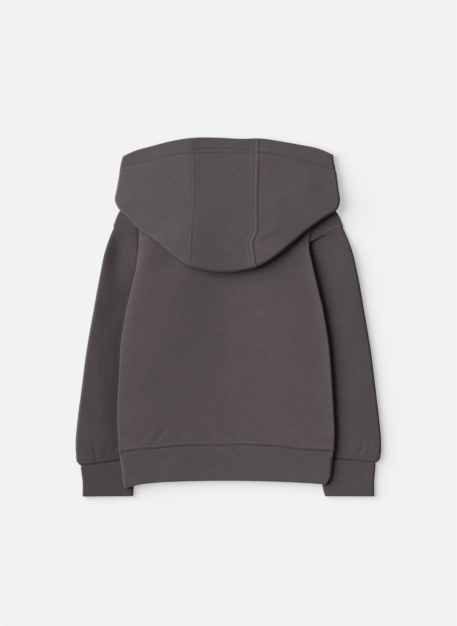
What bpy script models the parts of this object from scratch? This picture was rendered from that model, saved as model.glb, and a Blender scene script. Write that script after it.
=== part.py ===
"""Toddler hoodie laid flat with its back up: the hood spread over the back, the sleeves swung down
beside the body and partly under it.

Every piece is a sheet of cloth, given by the middle surface of its wall and thickened by a Solidify
modifier. Tables and sizes are in millimetres, with X to the right, Y to the head end and Z up.
From the surface up the layers are the sleeves and cuffs, the front panel, the back panel and the hood.
"""

from collections import namedtuple

import bmesh
import bpy
import numpy as np

MM = 0.001

# Driving sizes
CLOTH = 1.8  # wall of the fleece
RIB = 2.4  # wall of the doubled rib at the cuffs and the waistband
SEAM = 0.3  # clearance between two pieces that are sewn together
LAYER_STEP = 2.8  # from the middle of the front panel's wall to the middle of the back panel's
BODY_HEIGHT = LAYER_STEP + CLOTH  # front and back panel together
SLEEVE_HEIGHT = 7.0  # sleeve where it lies fullest
CUFF_HEIGHT = 5.4
BODY_CLEAR = 0.5  # between the body and the sleeves and cuffs that it lies on
HOOD_FOLD_RADIUS = 2.6  # middle of the wall, round the hood's fold
HOOD_RISE = 6.0  # how far the hood's stiffness lifts it off the back
HOOD_RISE_STARTS = (222.0, 142.0)  # Y between which it rises, from the rim's corners on
HOOD_SETTLE = 40.0  # stretch beyond the shoulders in which the hood comes down to the surface
LEFT, RIGHT = -1, 1

# The dropped shoulder, from the armhole seam's outer end to the neck point
Point = namedtuple("Point", "x y")
SHOULDER = {
    LEFT: [Point(-160.4, 124.4), Point(-152.6, 147.0), Point(-112.0, 171.0), Point(-57.0, 191.0)],
    RIGHT: [Point(161.2, 123.6), Point(152.0, 146.5), Point(111.0, 170.5), Point(56.0, 191.0)],
}
BACK_NECK = [Point(-57.0, 191.0), Point(-38.0, 184.0), Point(0.0, 180.5),
             Point(38.0, 184.0), Point(56.0, 191.0)]
FRONT_NECK = [Point(-57.0, 191.0), Point(-49.0, 165.0), Point(-29.0, 145.0), Point(0.0, 138.0),
              Point(29.0, 145.0), Point(49.0, 165.0), Point(56.0, 191.0)]

# The armhole seam that shows, from the shoulder's end to where the body folds over the sleeve
ARMHOLE = {
    LEFT: [Point(-160.4, 124.4), Point(-149.0, 120.8), Point(-138.0, 116.4), Point(-125.2, 110.8)],
    RIGHT: [Point(161.2, 123.6), Point(146.0, 118.4), Point(127.0, 110.8), Point(114.0, 103.0)],
}
# The sleeve's end carries on from there beside the body's edge, then across under the front panel
ARMHOLE_HIDDEN = {
    LEFT: [Point(-129.6, 96.4), Point(-114.0, 93.0), Point(-49.0, 86.0)],
    RIGHT: [Point(118.8, 89.4), Point(103.0, 86.2), Point(50.0, 79.0)],
}
ARMHOLE_CLEAR = 1.05  # between the sleeve's end and the body's edge that climbs over it
HIDDEN_CORNER_SHARE = 0.4  # where the sleeve's line from its hidden corner lies between its neighbours
SIDE_REACH = 0.4  # share of the width in which a side boundary shapes the grid
TOP_FADE = 5  # how soon the rows lose the shape of the shoulders and the neckline
ARMHOLE_SHARE = 0.1  # of the body's side edge, from the shoulder's end down to the waistband
EDGE_FADE = 0.1  # share of the panel in which an edge turns into a fold, beyond the neck or the armhole
EDGE_DROPS = (0.57, 0.36, 0.0)  # how far a folded edge's three lines turn, as shares of the fold's radius
EDGE_LEAN = 0.1  # how far its second line lies inside the first

# The body's folded side edges
Edge = namedtuple("Edge", "y left right")
BODY_EDGE = [
    Edge(104.0, -126.6, 113.7),
    Edge(65.0, -132.3, 122.4),
    Edge(15.0, -141.5, 134.2),
    Edge(-35.0, -149.0, 142.0),
    Edge(-75.0, -152.5, 145.5),
    Edge(-120.0, -154.3, 148.0),
    Edge(-165.0, -153.8, 149.0),
]

# The waistband: its seam and hem across the width, and its ends from seam to hem
Band = namedtuple("Band", "x seam hem")
BAND = [
    Band(-152.0, -188.5, -241.0),
    Band(-127.0, -184.2, -235.3),
    Band(-99.0, -182.0, -232.5),
    Band(-73.0, -180.3, -231.2),
    Band(-9.0, -179.2, -230.0),
    Band(60.0, -180.2, -231.0),
    Band(102.0, -184.0, -232.7),
    Band(148.0, -186.3, -236.0),
]
BandEnd = namedtuple("BandEnd", "share left right")
BAND_END = [
    BandEnd(0.0, -152.0, 147.8),
    BandEnd(0.45, -149.3, 146.0),
    BandEnd(0.8, -147.0, 142.6),
    BandEnd(1.0, -145.3, 135.5),
]

# Sleeve sections from the armhole down, as the points at the outer and the inner fold of the right one
Section = namedtuple("Section", "out_x out_y in_x in_y height")
SLEEVE = [
    Section(172.7, 93.0, 55.0, 66.0, 5.4),
    Section(180.6, 58.0, 64.0, 34.0, 6.4),
    Section(189.4, 9.0, 76.0, -12.0, SLEEVE_HEIGHT),
    Section(199.0, -47.0, 90.0, -64.0, SLEEVE_HEIGHT),
    Section(206.3, -103.0, 103.0, -114.0, SLEEVE_HEIGHT),
    Section(211.7, -145.0, 113.0, -150.0, SLEEVE_HEIGHT),
    Section(214.0, -175.0, 119.0, -173.0, SLEEVE_HEIGHT),
    Section(213.4, -193.0, 122.0, -186.0, 6.8),
]
# The last sleeve sections differ from side to side: where it bulges over the cuff, and the cuff seam
SLEEVE_END = {
    LEFT: [Section(211.6, -203.8, 126.0, -193.5, 6.2), Section(207.6, -206.5, 130.0, -197.0, 5.4),
           Section(206.6, -207.8, 130.5, -198.4, 5.2)],
    RIGHT: [Section(211.8, -200.6, 126.0, -191.5, 6.2), Section(207.6, -203.1, 130.0, -195.3, 5.4),
            Section(206.6, -204.4, 130.5, -196.8, 5.2)],
}
CUFF_TAPER = 0.62  # share of the cuff's length in which its outer edge comes in
CUFF_HEM = {
    LEFT: Section(203.8, -250.6, 135.5, -250.2, CUFF_HEIGHT),
    RIGHT: Section(203.6, -250.4, 136.8, -250.4, CUFF_HEIGHT),
}

# The hood's outline: the fold round its sides and lower edge, and the rim of its opening
HOOD_FOLD = [
    Point(-149.0, 222.0), Point(-152.4, 203.0), Point(-156.2, 178.0), Point(-158.3, 161.5),
    Point(-154.6, 153.0), Point(-141.0, 139.0), Point(-124.5, 122.0), Point(-96.0, 103.0),
    Point(-74.4, 84.8), Point(-54.5, 71.8), Point(-31.0, 65.4), Point(-3.0, 62.8),
    Point(21.8, 65.2), Point(38.8, 69.4), Point(64.2, 83.4), Point(89.4, 103.7),
    Point(113.9, 125.4), Point(135.6, 140.8), Point(152.0, 151.8), Point(156.2, 160.8),
    Point(154.4, 178.0), Point(150.6, 203.0), Point(147.5, 221.0),
]
HOOD_FOLD_SEAMS = (9, 13)  # the points of HOOD_FOLD at the left and the right seam
HOOD_RIM = [
    Point(-149.0, 222.0), Point(-145.0, 227.6), Point(-129.0, 233.8), Point(-84.0, 245.5),
    Point(-50.8, 250.6), Point(-20.0, 251.3), Point(22.0, 249.4), Point(40.2, 250.0), Point(72.6, 245.4),
    Point(100.6, 240.6), Point(128.6, 234.6), Point(144.0, 228.2), Point(147.5, 221.0),
]
HOOD_RIM_SEAMS = (4, 7)
Seam = namedtuple("Seam", "y left right")
HOOD_SEAM = [
    Seam(250.6, -50.8, 40.2),
    Seam(200.0, -48.6, 41.1),
    Seam(158.0, -48.6, 39.2),
    Seam(128.0, -51.0, 40.0),
    Seam(105.0, -52.4, 34.4),
    Seam(88.0, -53.2, 35.2),
    Seam(72.5, -53.4, 37.6),
]
SEAM_LENGTH = HOOD_SEAM[0].y - HOOD_SEAM[-1].y
HOOD_SEAM_CLEAR = 0.45  # between the centre and the side panels, where the seam curves
SEAM_START = 84.0  # where the side panel's rows begin on the upper layer, just above the fold

# Paths of the left side panel's cloth under the hood, from its neck edge to the hood's fold, by their
# place along the fold from the centre panel's seam (0) to the rim (1). They start along the back
# neckline, turn round the neck point and end at the throat. near and far are points on the way, and
# over is how far the neck edge lies on the back panel: 1 on it, 0 beside the front panel.
Path = namedtuple("Path", "share x y near_x near_y far_x far_y over")
HOOD_PATH = [
    Path(0.00, -44.3, 185.8, -46.4, 165.0, -50.0, 125.0, 1.0),
    Path(0.25, -48.0, 187.4, -55.0, 170.0, -68.0, 135.0, 1.0),
    Path(0.50, -52.5, 190.2, -67.0, 181.0, -95.0, 162.0, 1.0),
    Path(0.61, -55.8, 192.0, -70.0, 188.0, -100.0, 176.0, 1.0),
    Path(0.66, -58.6, 192.6, -70.0, 191.8, -99.0, 182.0, 0.9),
    Path(0.71, -60.0, 194.2, -69.0, 196.0, -96.0, 188.5, 0.5),
    Path(0.76, -59.4, 195.6, -66.0, 200.0, -92.0, 195.0, 0.15),
    Path(0.81, -57.6, 195.8, -61.0, 203.5, -87.0, 202.0, 0.0),
    Path(0.86, -55.2, 193.6, -54.0, 205.0, -80.0, 208.5, 0.0),
    Path(0.91, -49.4, 167.2, -45.0, 201.0, -72.0, 214.0, 0.0),
    Path(0.96, -28.0, 145.3, -30.0, 200.0, -64.0, 218.5, 0.0),
    Path(1.00, -0.4, 138.4, -15.0, 198.0, -56.0, 222.0, 0.0),
]
PATH_STOPS = (0.0, 0.2, 0.5, 1.0)
PATH_LEVEL = 0.35  # share of a path that stays on the surface where it starts beside the front panel
PATH_UP = 0.95  # share by which it has risen to the fold

# The hidden inner fold of the sleeve, and the cuff's: where the body comes down beside it
InnerFold = namedtuple("InnerFold", "y x")
INNER_FOLD = [
    InnerFold(-250.0, 131.0),
    InnerFold(-200.0, 127.0),
    InnerFold(-186.0, 121.0),
    InnerFold(-114.0, 102.0),
    InnerFold(-12.0, 75.0),
    InnerFold(66.0, 54.0),
    InnerFold(90.0, 47.0),
]
BODY_SLOPE = 52.0  # width over which the body comes down from a sleeve to the surface
SLOPE_SPARE = 2.0  # how far inside the sleeve the body is up at its full height
CORNER_RAMP = 12.0  # length in which the body's edge climbs onto the sleeve below the armhole seam
CORNER_EARLY = 1.5  # how far above that seam's inner end the climb starts
INNER_START = 40.0  # how much sooner, and how far in, the climb starts under the hood
SLEEVE_FILLS = (112.0, 32.0)  # Y between which the sleeve under the body gets to its full height
CUFF_STARTS = (-190.0, -204.0)  # Y between which the body comes down from the sleeve to the cuff

# Grid counts
EDGE_LINES = len(EDGE_DROPS)
BODY_COLUMNS = 22
BODY_ROWS_ARMHOLE = 4
BODY_ROWS = 17
SLEEVE_ROWS = 17
SLEEVE_TOP_COLUMNS = (4, 6)  # across the armhole seam that shows, and across the rest
SLEEVE_UNDER_COLUMNS = 7
CUFF_ROWS = 5
CUFF_COLUMNS = 9
BAND_ROWS = 5
BAND_COLUMNS = 26
HOOD_ROWS = 22
HOOD_CROWDING = (0.045, 0.02)  # how far its rows move towards the middle, in the rim's half and the other
HOOD_LOWER_COLUMNS = 7
HOOD_UPPER_COLUMNS = 8
HOOD_CENTRE_COLUMNS = 7
HOOD_CENTRE_LOWER_ROWS = 7
FOLD_STEPS = 4  # segments round half a turn

FLEECE_COLOUR = (0.092, 0.074, 0.078)
RIB_COLOUR = (0.080, 0.065, 0.069)


def ease(t):
    """0 to 1 with level ends."""
    t = np.clip(t, 0.0, 1.0)
    return t * t * (3.0 - 2.0 * t)


def ramp(value, start, end):
    """0 at start and 1 at end, with level ends."""
    return ease((value - start) / (end - start))


def blend(a, b, t):
    return a + (b - a) * t


def through(points, shares, stops=None):
    """Points at the given shares of a smooth curve through a table's points. Shares run by chord
    length, or pass each table point at the share that stops gives it."""
    points = np.array(points, float)
    if stops is None:
        chords = np.linalg.norm(np.diff(points[:, :2], axis=0), axis=1)
        stops = np.concatenate([[0.0], np.cumsum(chords)]) / chords.sum()
    stops = np.array(stops, float)
    shares = np.clip(np.atleast_1d(np.array(shares, float)), 0.0, 1.0)
    if len(points) == 2:
        return points[0] + np.outer(shares, points[1] - points[0])
    slopes = np.gradient(points, stops, axis=0, edge_order=2)
    index = np.clip(np.searchsorted(stops, shares, side="right") - 1, 0, len(stops) - 2)
    span = (stops[index + 1] - stops[index])[:, None]
    t = (shares[:, None] - stops[index][:, None]) / span
    start, end = points[index], points[index + 1]
    leave, arrive = slopes[index] * span, slopes[index + 1] * span
    return ((2 * t**3 - 3 * t**2 + 1) * start + (t**3 - 2 * t**2 + t) * leave
            + (3 * t**2 - 2 * t**3) * end + (t**3 - t**2) * arrive)


def column(table, key, *names):
    """The named columns of a table, interpolated at the values of its key column."""
    rows = sorted(table, key=lambda row: getattr(row, key[0]))
    at = [getattr(row, key[0]) for row in rows]
    return [np.interp(key[1], at, [getattr(row, name) for row in rows]) for name in names]


# Heights of the layers


def lift(x, y):
    """How far the front panel's underside lies above the surface: up on the sleeves and cuffs."""
    corner_x = np.where(np.asarray(x) < 0, -ARMHOLE[LEFT][-1].x, ARMHOLE[RIGHT][-1].x)
    corner_y = np.where(np.asarray(x) < 0, ARMHOLE[LEFT][-1].y, ARMHOLE[RIGHT][-1].y)
    (fold_x,) = column(INNER_FOLD, ("y", y), "x")
    beside = ease((np.abs(x) - fold_x + BODY_SLOPE) / (BODY_SLOPE - SLOPE_SPARE))
    start = corner_y + CORNER_EARLY + INNER_START * ease((corner_x - np.abs(x)) / INNER_START)
    full = corner_y - CORNER_RAMP
    height = blend(BODY_HEIGHT, SLEEVE_HEIGHT, ramp(y, *SLEEVE_FILLS))
    height = blend(height, CUFF_HEIGHT, ramp(y, *CUFF_STARTS)) + BODY_CLEAR
    return beside * ramp(y, start, full) * height


def shoulder_y(x):
    """The upper edge of the body across its width."""
    edge = sorted(SHOULDER[LEFT] + BACK_NECK[1:-1] + SHOULDER[RIGHT])
    return np.interp(x, [p.x for p in edge], [p.y for p in edge])


def hood_support(x, y):
    """What the hood lies on: the back panel, then down to the surface beyond the shoulders."""
    beyond = ease((y - shoulder_y(x)) / HOOD_SETTLE)
    return (BODY_HEIGHT + lift(x, y)) * (1.0 - beyond)


def hood_rise(y):
    return HOOD_RISE * ramp(y, *HOOD_RISE_STARTS)


def hood_upper_z(x, y):
    """Middle of the upper layer's wall."""
    return CLOTH / 2 + SEAM + hood_support(x, y) + hood_rise(y) + 2 * HOOD_FOLD_RADIUS


# Meshes


def cloth_object(name, grid, wall, colour, closed=False):
    """A grid of middle-surface points as a thickened sheet. closed joins its last column to its first."""
    rows, columns = grid.shape[:2]
    mesh = bmesh.new()
    points = [[mesh.verts.new(grid[i, j] * MM) for j in range(columns)] for i in range(rows)]
    for i in range(rows - 1):
        for j in range(columns if closed else columns - 1):
            k = (j + 1) % columns
            mesh.faces.new((points[i][j], points[i + 1][j], points[i + 1][k], points[i][k]))
    bmesh.ops.recalc_face_normals(mesh, faces=mesh.faces)
    data = bpy.data.meshes.new(name)
    mesh.to_mesh(data)
    mesh.free()
    data.shade_smooth()
    obj = bpy.data.objects.new(name, data)
    bpy.context.scene.collection.objects.link(obj)
    thicken = obj.modifiers.new("wall", "SOLIDIFY")
    thicken.thickness = wall * MM
    thicken.offset = 0.0
    thicken.use_even_offset = True
    thicken.use_quality_normals = True
    obj.data.materials.append(cloth_material(name, colour))
    return obj


def cloth_material(name, colour):
    material = bpy.data.materials.new(name + "_cloth")
    material.use_nodes = True
    shader = material.node_tree.nodes["Principled BSDF"]
    shader.inputs["Base Color"].default_value = (*colour, 1.0)
    shader.inputs["Roughness"].default_value = 0.92
    shader.inputs["Metallic"].default_value = 0.0
    material.diffuse_color = (*colour, 1.0)
    return material


# Body


def edge_steps(length, turned):
    """Shares of a grid's three outer lines, and how far each drops, where turned is 1 on an edge that
    turns through a quarter to meet its neighbour and 0 on a plain cut edge."""
    radius = LAYER_STEP / 2
    inset = [blend(SEAM / 2, CLOTH / 2, turned), CLOTH / 2 + EDGE_LEAN, CLOTH / 2 + radius]
    return [d / length for d in inset], [share * radius * turned for share in EDGE_DROPS]


def side_curve(side, shares):
    """The body's side boundary: the armhole seam, then the folded edge down to the waistband."""
    shares = np.atleast_1d(shares)
    fold = [Point(row.left if side == LEFT else row.right, row.y) for row in BODY_EDGE]
    corner, end = ARMHOLE[side][-1], bottom_curve(0.0 if side == LEFT else 1.0)[0]
    fold = [corner] + [p for p in fold if p.y < corner.y - 1.0] + [Point(*end)]
    upper = through(ARMHOLE[side], shares / ARMHOLE_SHARE)
    lower = through(fold, (shares - ARMHOLE_SHARE) / (1 - ARMHOLE_SHARE))
    return np.where((shares < ARMHOLE_SHARE)[:, None], upper, lower)


def top_curve(neck, shares):
    """The body's upper boundary: shoulder, neckline, shoulder."""
    shares = np.atleast_1d(shares)
    stops = top_stops()
    first = through(SHOULDER[LEFT], shares / stops[0])
    middle = through(neck, (shares - stops[0]) / (stops[1] - stops[0]))
    last = through(SHOULDER[RIGHT][::-1], (shares - stops[1]) / (1 - stops[1]))
    at_left, at_right = (shares < stops[0])[:, None], (shares > stops[1])[:, None]
    return np.where(at_left, first, np.where(at_right, last, middle))


def top_stops():
    """Shares of the upper boundary at the two neck points, by width."""
    left, right = SHOULDER[LEFT][0].x, SHOULDER[RIGHT][0].x
    return (BACK_NECK[0].x - left) / (right - left), (BACK_NECK[-1].x - left) / (right - left)


def bottom_curve(shares):
    x = blend(BAND_END[0].left, BAND_END[0].right, np.atleast_1d(shares))
    return np.stack([x, band_y(x, 0.0)], axis=1)


def body_plan(neck, u, v):
    """The plan point at share u across and share v down: between the upper and the lower boundary, and
    drawn to the side boundaries near them."""
    tip_left, tip_right = np.array(SHOULDER[LEFT][0]), np.array(SHOULDER[RIGHT][0])
    straight_left = blend(tip_left, bottom_curve(0.0)[0], v)
    straight_right = blend(tip_right, bottom_curve(1.0)[0], v)
    near_left, near_right = 1 - ease(u / SIDE_REACH), 1 - ease((1 - u) / SIDE_REACH)
    tips = blend(tip_left, tip_right, u)
    plain = blend(tips, bottom_curve(u)[0], v) + (top_curve(neck, u)[0] - tips) * (1 - v) ** TOP_FADE
    return (plain + near_left * (side_curve(LEFT, v)[0] - straight_left)
            + near_right * (side_curve(RIGHT, v)[0] - straight_right))


Grid = namedtuple("Grid", "neck stops across down")  # stops: shares across at the two neck points


def body_panel(name, neck, base, turn):
    """A front or back panel. base is its middle height on the surface, and turn is -1 where its edges
    turn down and 1 where they turn up."""
    across = np.linspace(0, 1, BODY_COLUMNS + 1)[1:-1]
    down = np.concatenate([
        np.linspace(0, ARMHOLE_SHARE, BODY_ROWS_ARMHOLE + 1)[1:],
        np.linspace(ARMHOLE_SHARE, 1, BODY_ROWS + 1)[1:-1],
    ])
    grid = Grid(neck, top_stops(), across, down)
    columns = range(len(across) + 2 * EDGE_LINES)
    rows = [[body_point(grid, base, turn, i, j) for j in columns] for i in range(len(down) + EDGE_LINES + 1)]
    return cloth_object(name, np.array(rows), CLOTH, FLEECE_COLOUR)


def grid_scale(neck, u, v):
    """Millimetres for a whole share across and a whole share down, at a point of the panel's plan."""
    step = 0.002
    here = body_plan(neck, u, v)
    across = body_plan(neck, u + step if u < 0.5 else u - step, v)
    down = body_plan(neck, u, v + step if v < 0.5 else v - step)
    return np.linalg.norm(across - here) / step, np.linalg.norm(down - here) / step


def body_point(grid, base, turn, i, j):
    """One grid point. The first and the last columns, and the first rows, are edge lines."""
    from_right = len(grid.across) + 2 * EDGE_LINES - 1 - j
    inner_i = i - EDGE_LINES
    rough_u = np.clip((j - 2) / (len(grid.across) + 1), 0, 1)
    rough_v = [0.0, *grid.down, 1.0][max(inner_i + 1, 0)]
    side_turned = float(ease((rough_v - ARMHOLE_SHARE) / EDGE_FADE))
    top_turned = float(ease(max(grid.stops[0] - rough_u, rough_u - grid.stops[1]) / EDGE_FADE))
    width, length = grid_scale(grid.neck, rough_u, rough_v)
    side_inset, side_drop = edge_steps(width, side_turned)
    top_inset, top_drop = edge_steps(length, top_turned)
    drop = 0.0
    if j < EDGE_LINES:
        u, drop = side_inset[j], side_drop[j]
    elif from_right < EDGE_LINES:
        u, drop = 1 - side_inset[from_right], side_drop[from_right]
    else:
        u = grid.across[j - EDGE_LINES]
    if inner_i < 0:
        v, drop = top_inset[i], max(drop, top_drop[i])
    elif inner_i < len(grid.down):
        v = grid.down[inner_i]
    else:
        v = 1 - SEAM / 2 / length
    x, y = body_plan(grid.neck, u, v)
    return x, y, base + float(lift(x, y)) + turn * drop


# Sleeves and cuffs


def flat_ring(line, height, wall, under_columns):
    """A flattened tube's ring of middle-surface points, clockwise from its outer fold over the top.
    line holds plan points from the outer fold to the inner one, and heights above the surface."""
    radius = (height - wall) / 2
    line = np.array(line, float)
    inset = wall / 2 + radius
    outward = {0: line[0] - line[1], -1: line[-1] - line[-2]}
    outward = {key: way / np.linalg.norm(way) for key, way in outward.items()}
    length = np.linalg.norm(line[-1] - line[0])
    ends = {0: line[0] - outward[0] * inset, -1: line[-1] - outward[-1] * inset}
    shrink = 1 - 2 * inset / length
    middle = (ends[0] + ends[-1]) / 2
    plan = middle + (line - (line[0] + line[-1]) / 2) * shrink
    plan[0], plan[-1] = ends[0], ends[-1]
    under_shares = np.linspace(1, 0, under_columns)
    places = np.linspace(0, 1, len(plan))
    under = np.stack([np.interp(under_shares, places, plan[:, k]) for k in (0, 1)], axis=1)
    low, high = wall / 2, height - wall / 2
    ring = [(*p, high) for p in plan]
    ring += [(*(ends[-1] + outward[-1] * radius * np.sin(a)), low + radius + radius * np.cos(a))
             for a in np.pi * np.arange(1, FOLD_STEPS) / FOLD_STEPS]
    ring += [(*p, low) for p in under]
    ring += [(*(ends[0] + outward[0] * radius * np.sin(a)), low + radius - radius * np.cos(a))
             for a in np.pi * np.arange(1, FOLD_STEPS) / FOLD_STEPS]
    return ring


def sleeve_sections(side):
    return SLEEVE + SLEEVE_END[side]


def armhole_line(side):
    """The sleeve's upper end in plan from its outer to its inner fold, and each point's share of the
    width. It keeps clear of the body's edge where that climbs over it."""
    seam, hidden = ARMHOLE[side], ARMHOLE_HIDDEN[side]
    clear = Point(seam[-1].x + side * ARMHOLE_CLEAR, seam[-1].y)
    shown = through(seam[:-1] + [clear], np.linspace(0, 1, SLEEVE_TOP_COLUMNS[0] + 1))
    under = through(hidden[1:], np.linspace(0, 1, SLEEVE_TOP_COLUMNS[1] - 1))
    line = np.concatenate([shown, [hidden[0]], under])
    shares = (line[:, 0] - line[0, 0]) / (line[-1, 0] - line[0, 0])
    step = SLEEVE_TOP_COLUMNS[0]
    shares[step + 1] = blend(shares[step], shares[step + 2], HIDDEN_CORNER_SHARE)
    return line, shares


def sleeve(side, name):
    end_line, shares = armhole_line(side)
    lines = [end_line]
    heights = [BODY_HEIGHT]
    for row in sleeve_sections(side):
        outer, inner = np.array([side * row.out_x, row.out_y]), np.array([side * row.in_x, row.in_y])
        lines.append(outer + shares[:, None] * (inner - outer))
        heights.append(row.height)
    lines = np.array(lines)
    outer_path = lines[:, 0]
    steps = np.linalg.norm(np.diff(outer_path, axis=0), axis=1)
    stops = np.concatenate([[0], np.cumsum(steps)]) / steps.sum()
    end = 1 - SEAM / 2 / steps.sum()
    places = np.concatenate([np.linspace(SEAM / 2 / steps.sum(), stops[-4], SLEEVE_ROWS - 4)[:-1],
                             [stops[-4], (stops[-4] + stops[-3]) / 2, stops[-3], stops[-2], end]])
    columns = [through(lines[:, k], places, stops) for k in range(len(shares))]
    tall = through([(h, 0.0) for h in heights], places, stops)[:, 0]
    rings = [flat_ring([column_points[i] for column_points in columns], tall[i], CLOTH, SLEEVE_UNDER_COLUMNS)
             for i in range(len(places))]
    return cloth_object(name, np.array(rings), CLOTH, FLEECE_COLOUR, closed=True)


def cuff(side, name):
    seam, hem = SLEEVE_END[side][-1], CUFF_HEM[side]
    length = abs(hem.out_y - seam.out_y)
    rings = []
    for t in np.linspace(2 * SEAM / length, 1, CUFF_ROWS):
        out_x, in_x = blend(seam.out_x, hem.out_x, ease(t / CUFF_TAPER)), blend(seam.in_x, hem.in_x, t)
        outer = np.array([side * out_x, blend(seam.out_y, hem.out_y, t)])
        inner = np.array([side * in_x, blend(seam.in_y, hem.in_y, t)])
        line = outer + np.linspace(0, 1, CUFF_COLUMNS)[:, None] * (inner - outer)
        rings.append(flat_ring(line, CUFF_HEIGHT, RIB, CUFF_COLUMNS - 2))
    return cloth_object(name, np.array(rings), RIB, RIB_COLOUR, closed=True)


# Waistband


def waistband():
    low, radius = RIB / 2, LAYER_STEP / 2
    inset = RIB / 2 + radius
    rings = []
    for share in np.linspace(0, 1, BAND_ROWS):
        left, right = column(BAND_END, ("share", share), "left", "right")
        across = np.linspace(left + inset, right - inset, BAND_COLUMNS)
        trim = 1.2 * SEAM * (1 - share)
        plan = list(zip(across, band_y(across, share) - trim))
        ring = [(x, y, low + LAYER_STEP + float(lift(x, y))) for x, y in plan]
        ring += band_end(plan[-1], 1, radius, low)
        ring += [(x, y, low + float(lift(x, y))) for x, y in plan[::-1]]
        ring += band_end(plan[0], -1, radius, low)
        rings.append(ring)
    return cloth_object("waistband", np.array(rings), RIB, RIB_COLOUR, closed=True)


def band_y(x, share):
    """Where the waistband lies between its seam (0) and its hem (1) at x."""
    width = BAND[-1].x - BAND[0].x
    stops = [(row.x - BAND[0].x) / width for row in BAND]
    lines = through([(row.seam, row.hem) for row in BAND], (x - BAND[0].x) / width, stops)
    return blend(lines[:, 0], lines[:, 1], share)


def band_end(point, way, radius, low):
    """The fold at one end: down at the right end, up at the left one."""
    x, y = point
    middle = low + radius + float(lift(x, y))
    angles = np.pi * np.arange(1, FOLD_STEPS) / FOLD_STEPS
    return [(x + way * radius * np.sin(a), y, middle + way * radius * np.cos(a)) for a in angles]


# Hood


def curve_stops(points):
    chords = np.linalg.norm(np.diff(np.array(points, float), axis=0), axis=1)
    return np.concatenate([[0.0], np.cumsum(chords)]) / chords.sum()


def fold_at(share):
    """A point of the hood's fold and the way out from it, at a share of its whole length."""
    step = 0.004
    before, point, after = through(HOOD_FOLD, [share - step, share, share + step])
    along = (after - before) / np.linalg.norm(after - before)
    return point, np.array([along[1], -along[0]])


def fold_rows(point, outward):
    """The fold's centre in plan, and the offsets of its points outward and up, from below to above."""
    centre = point - outward * (CLOTH / 2 + HOOD_FOLD_RADIUS)
    angles = np.pi * (np.arange(1, FOLD_STEPS) / FOLD_STEPS - 0.5)
    turned = [(*(centre + outward * HOOD_FOLD_RADIUS * np.cos(a)),
               float(hood_upper_z(*centre)) - HOOD_FOLD_RADIUS * (1 - np.sin(a))) for a in angles]
    return centre, turned


def hood_path(way, over, outward, end_points, lower_count):
    """Middle-surface points along way over the lower layer, from the neck edge to the centre of the
    fold, then round the fold and through end_points, which are plan points of the upper layer."""
    centre, turned = fold_rows(way[-1], outward)
    way = [*way[:-1], centre]
    points = []
    for s in np.linspace(0, 1, lower_count + 1):
        x, y = through(way, s, PATH_STOPS)[0]
        out = ramp(s, PATH_LEVEL * (1 - over), PATH_UP)
        bedding = (hood_support(x, y) + SEAM) * blend(out, 1.0, over)
        points.append((x, y, CLOTH / 2 + float(bedding) + float(hood_rise(y)) * out))
    points += turned
    points.append((*centre, float(hood_upper_z(*centre))))
    points += [(x, y, float(hood_upper_z(x, y))) for x, y in end_points]
    return points


def hood_shares():
    """Places of the side panel's rows along the fold, closer together round the neck point."""
    even = np.linspace(0, 1, HOOD_ROWS)
    return even + np.where(even > 0.5, *HOOD_CROWDING) * np.sin(2 * np.pi * even)


def hood_side(side, name):
    """One side panel. Its rows run from the neck edge to the centre panel's seam, the first along that
    seam under the hood and the last along the rim."""
    seam_index = HOOD_FOLD_SEAMS[0 if side == LEFT else 1]
    rim_index = HOOD_RIM_SEAMS[0 if side == LEFT else 1]
    corner = 0.0 if side == LEFT else 1.0
    ends = (curve_stops(HOOD_FOLD)[seam_index], corner)
    rim_ends = (corner, curve_stops(HOOD_RIM)[rim_index])
    seam_top = HOOD_RIM[rim_index].y
    mirror = np.array([-side, 1.0])
    rows = []
    for u in hood_shares():
        path = Path(*[np.interp(u, [row.share for row in HOOD_PATH], values) for values in zip(*HOOD_PATH)])
        way = np.array([(path.x, path.y), (path.near_x, path.near_y), (path.far_x, path.far_y)]) * mirror
        fold, outward = fold_at(blend(*ends, u))
        if u == 0:
            fold = fold + np.array([side * SEAM, 0.0])
        centre = fold - outward * (CLOTH / 2 + HOOD_FOLD_RADIUS)
        seam_y = blend(SEAM_START, seam_top, u)
        seam_x = hood_seam(seam_y)[0 if side == LEFT else 1] + side * HOOD_SEAM_CLEAR
        upper = []
        for w in np.linspace(0, 1, HOOD_UPPER_COLUMNS + 1)[1:]:
            rim = through(HOOD_RIM, blend(*rim_ends, w))[0]
            chord = blend(np.array(HOOD_RIM[0 if side == LEFT else -1]), np.array(HOOD_RIM[rim_index]), w)
            straight = blend(centre, np.array([seam_x, seam_y]), w)
            upper.append(straight + (rim - chord) * ease(2 * u - 1))
        rows.append(hood_path([*way, fold], path.over, outward, upper, HOOD_LOWER_COLUMNS))
    return cloth_object(name, np.array(rows), CLOTH, FLEECE_COLOUR)


def hood_seam(y):
    """The left and the right end of the centre panel's width at y on the upper layer."""
    return through([(row.left, row.right) for row in HOOD_SEAM], (HOOD_SEAM[0].y - y) / SEAM_LENGTH,
                   [(HOOD_SEAM[0].y - row.y) / SEAM_LENGTH for row in HOOD_SEAM])[0]


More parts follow.
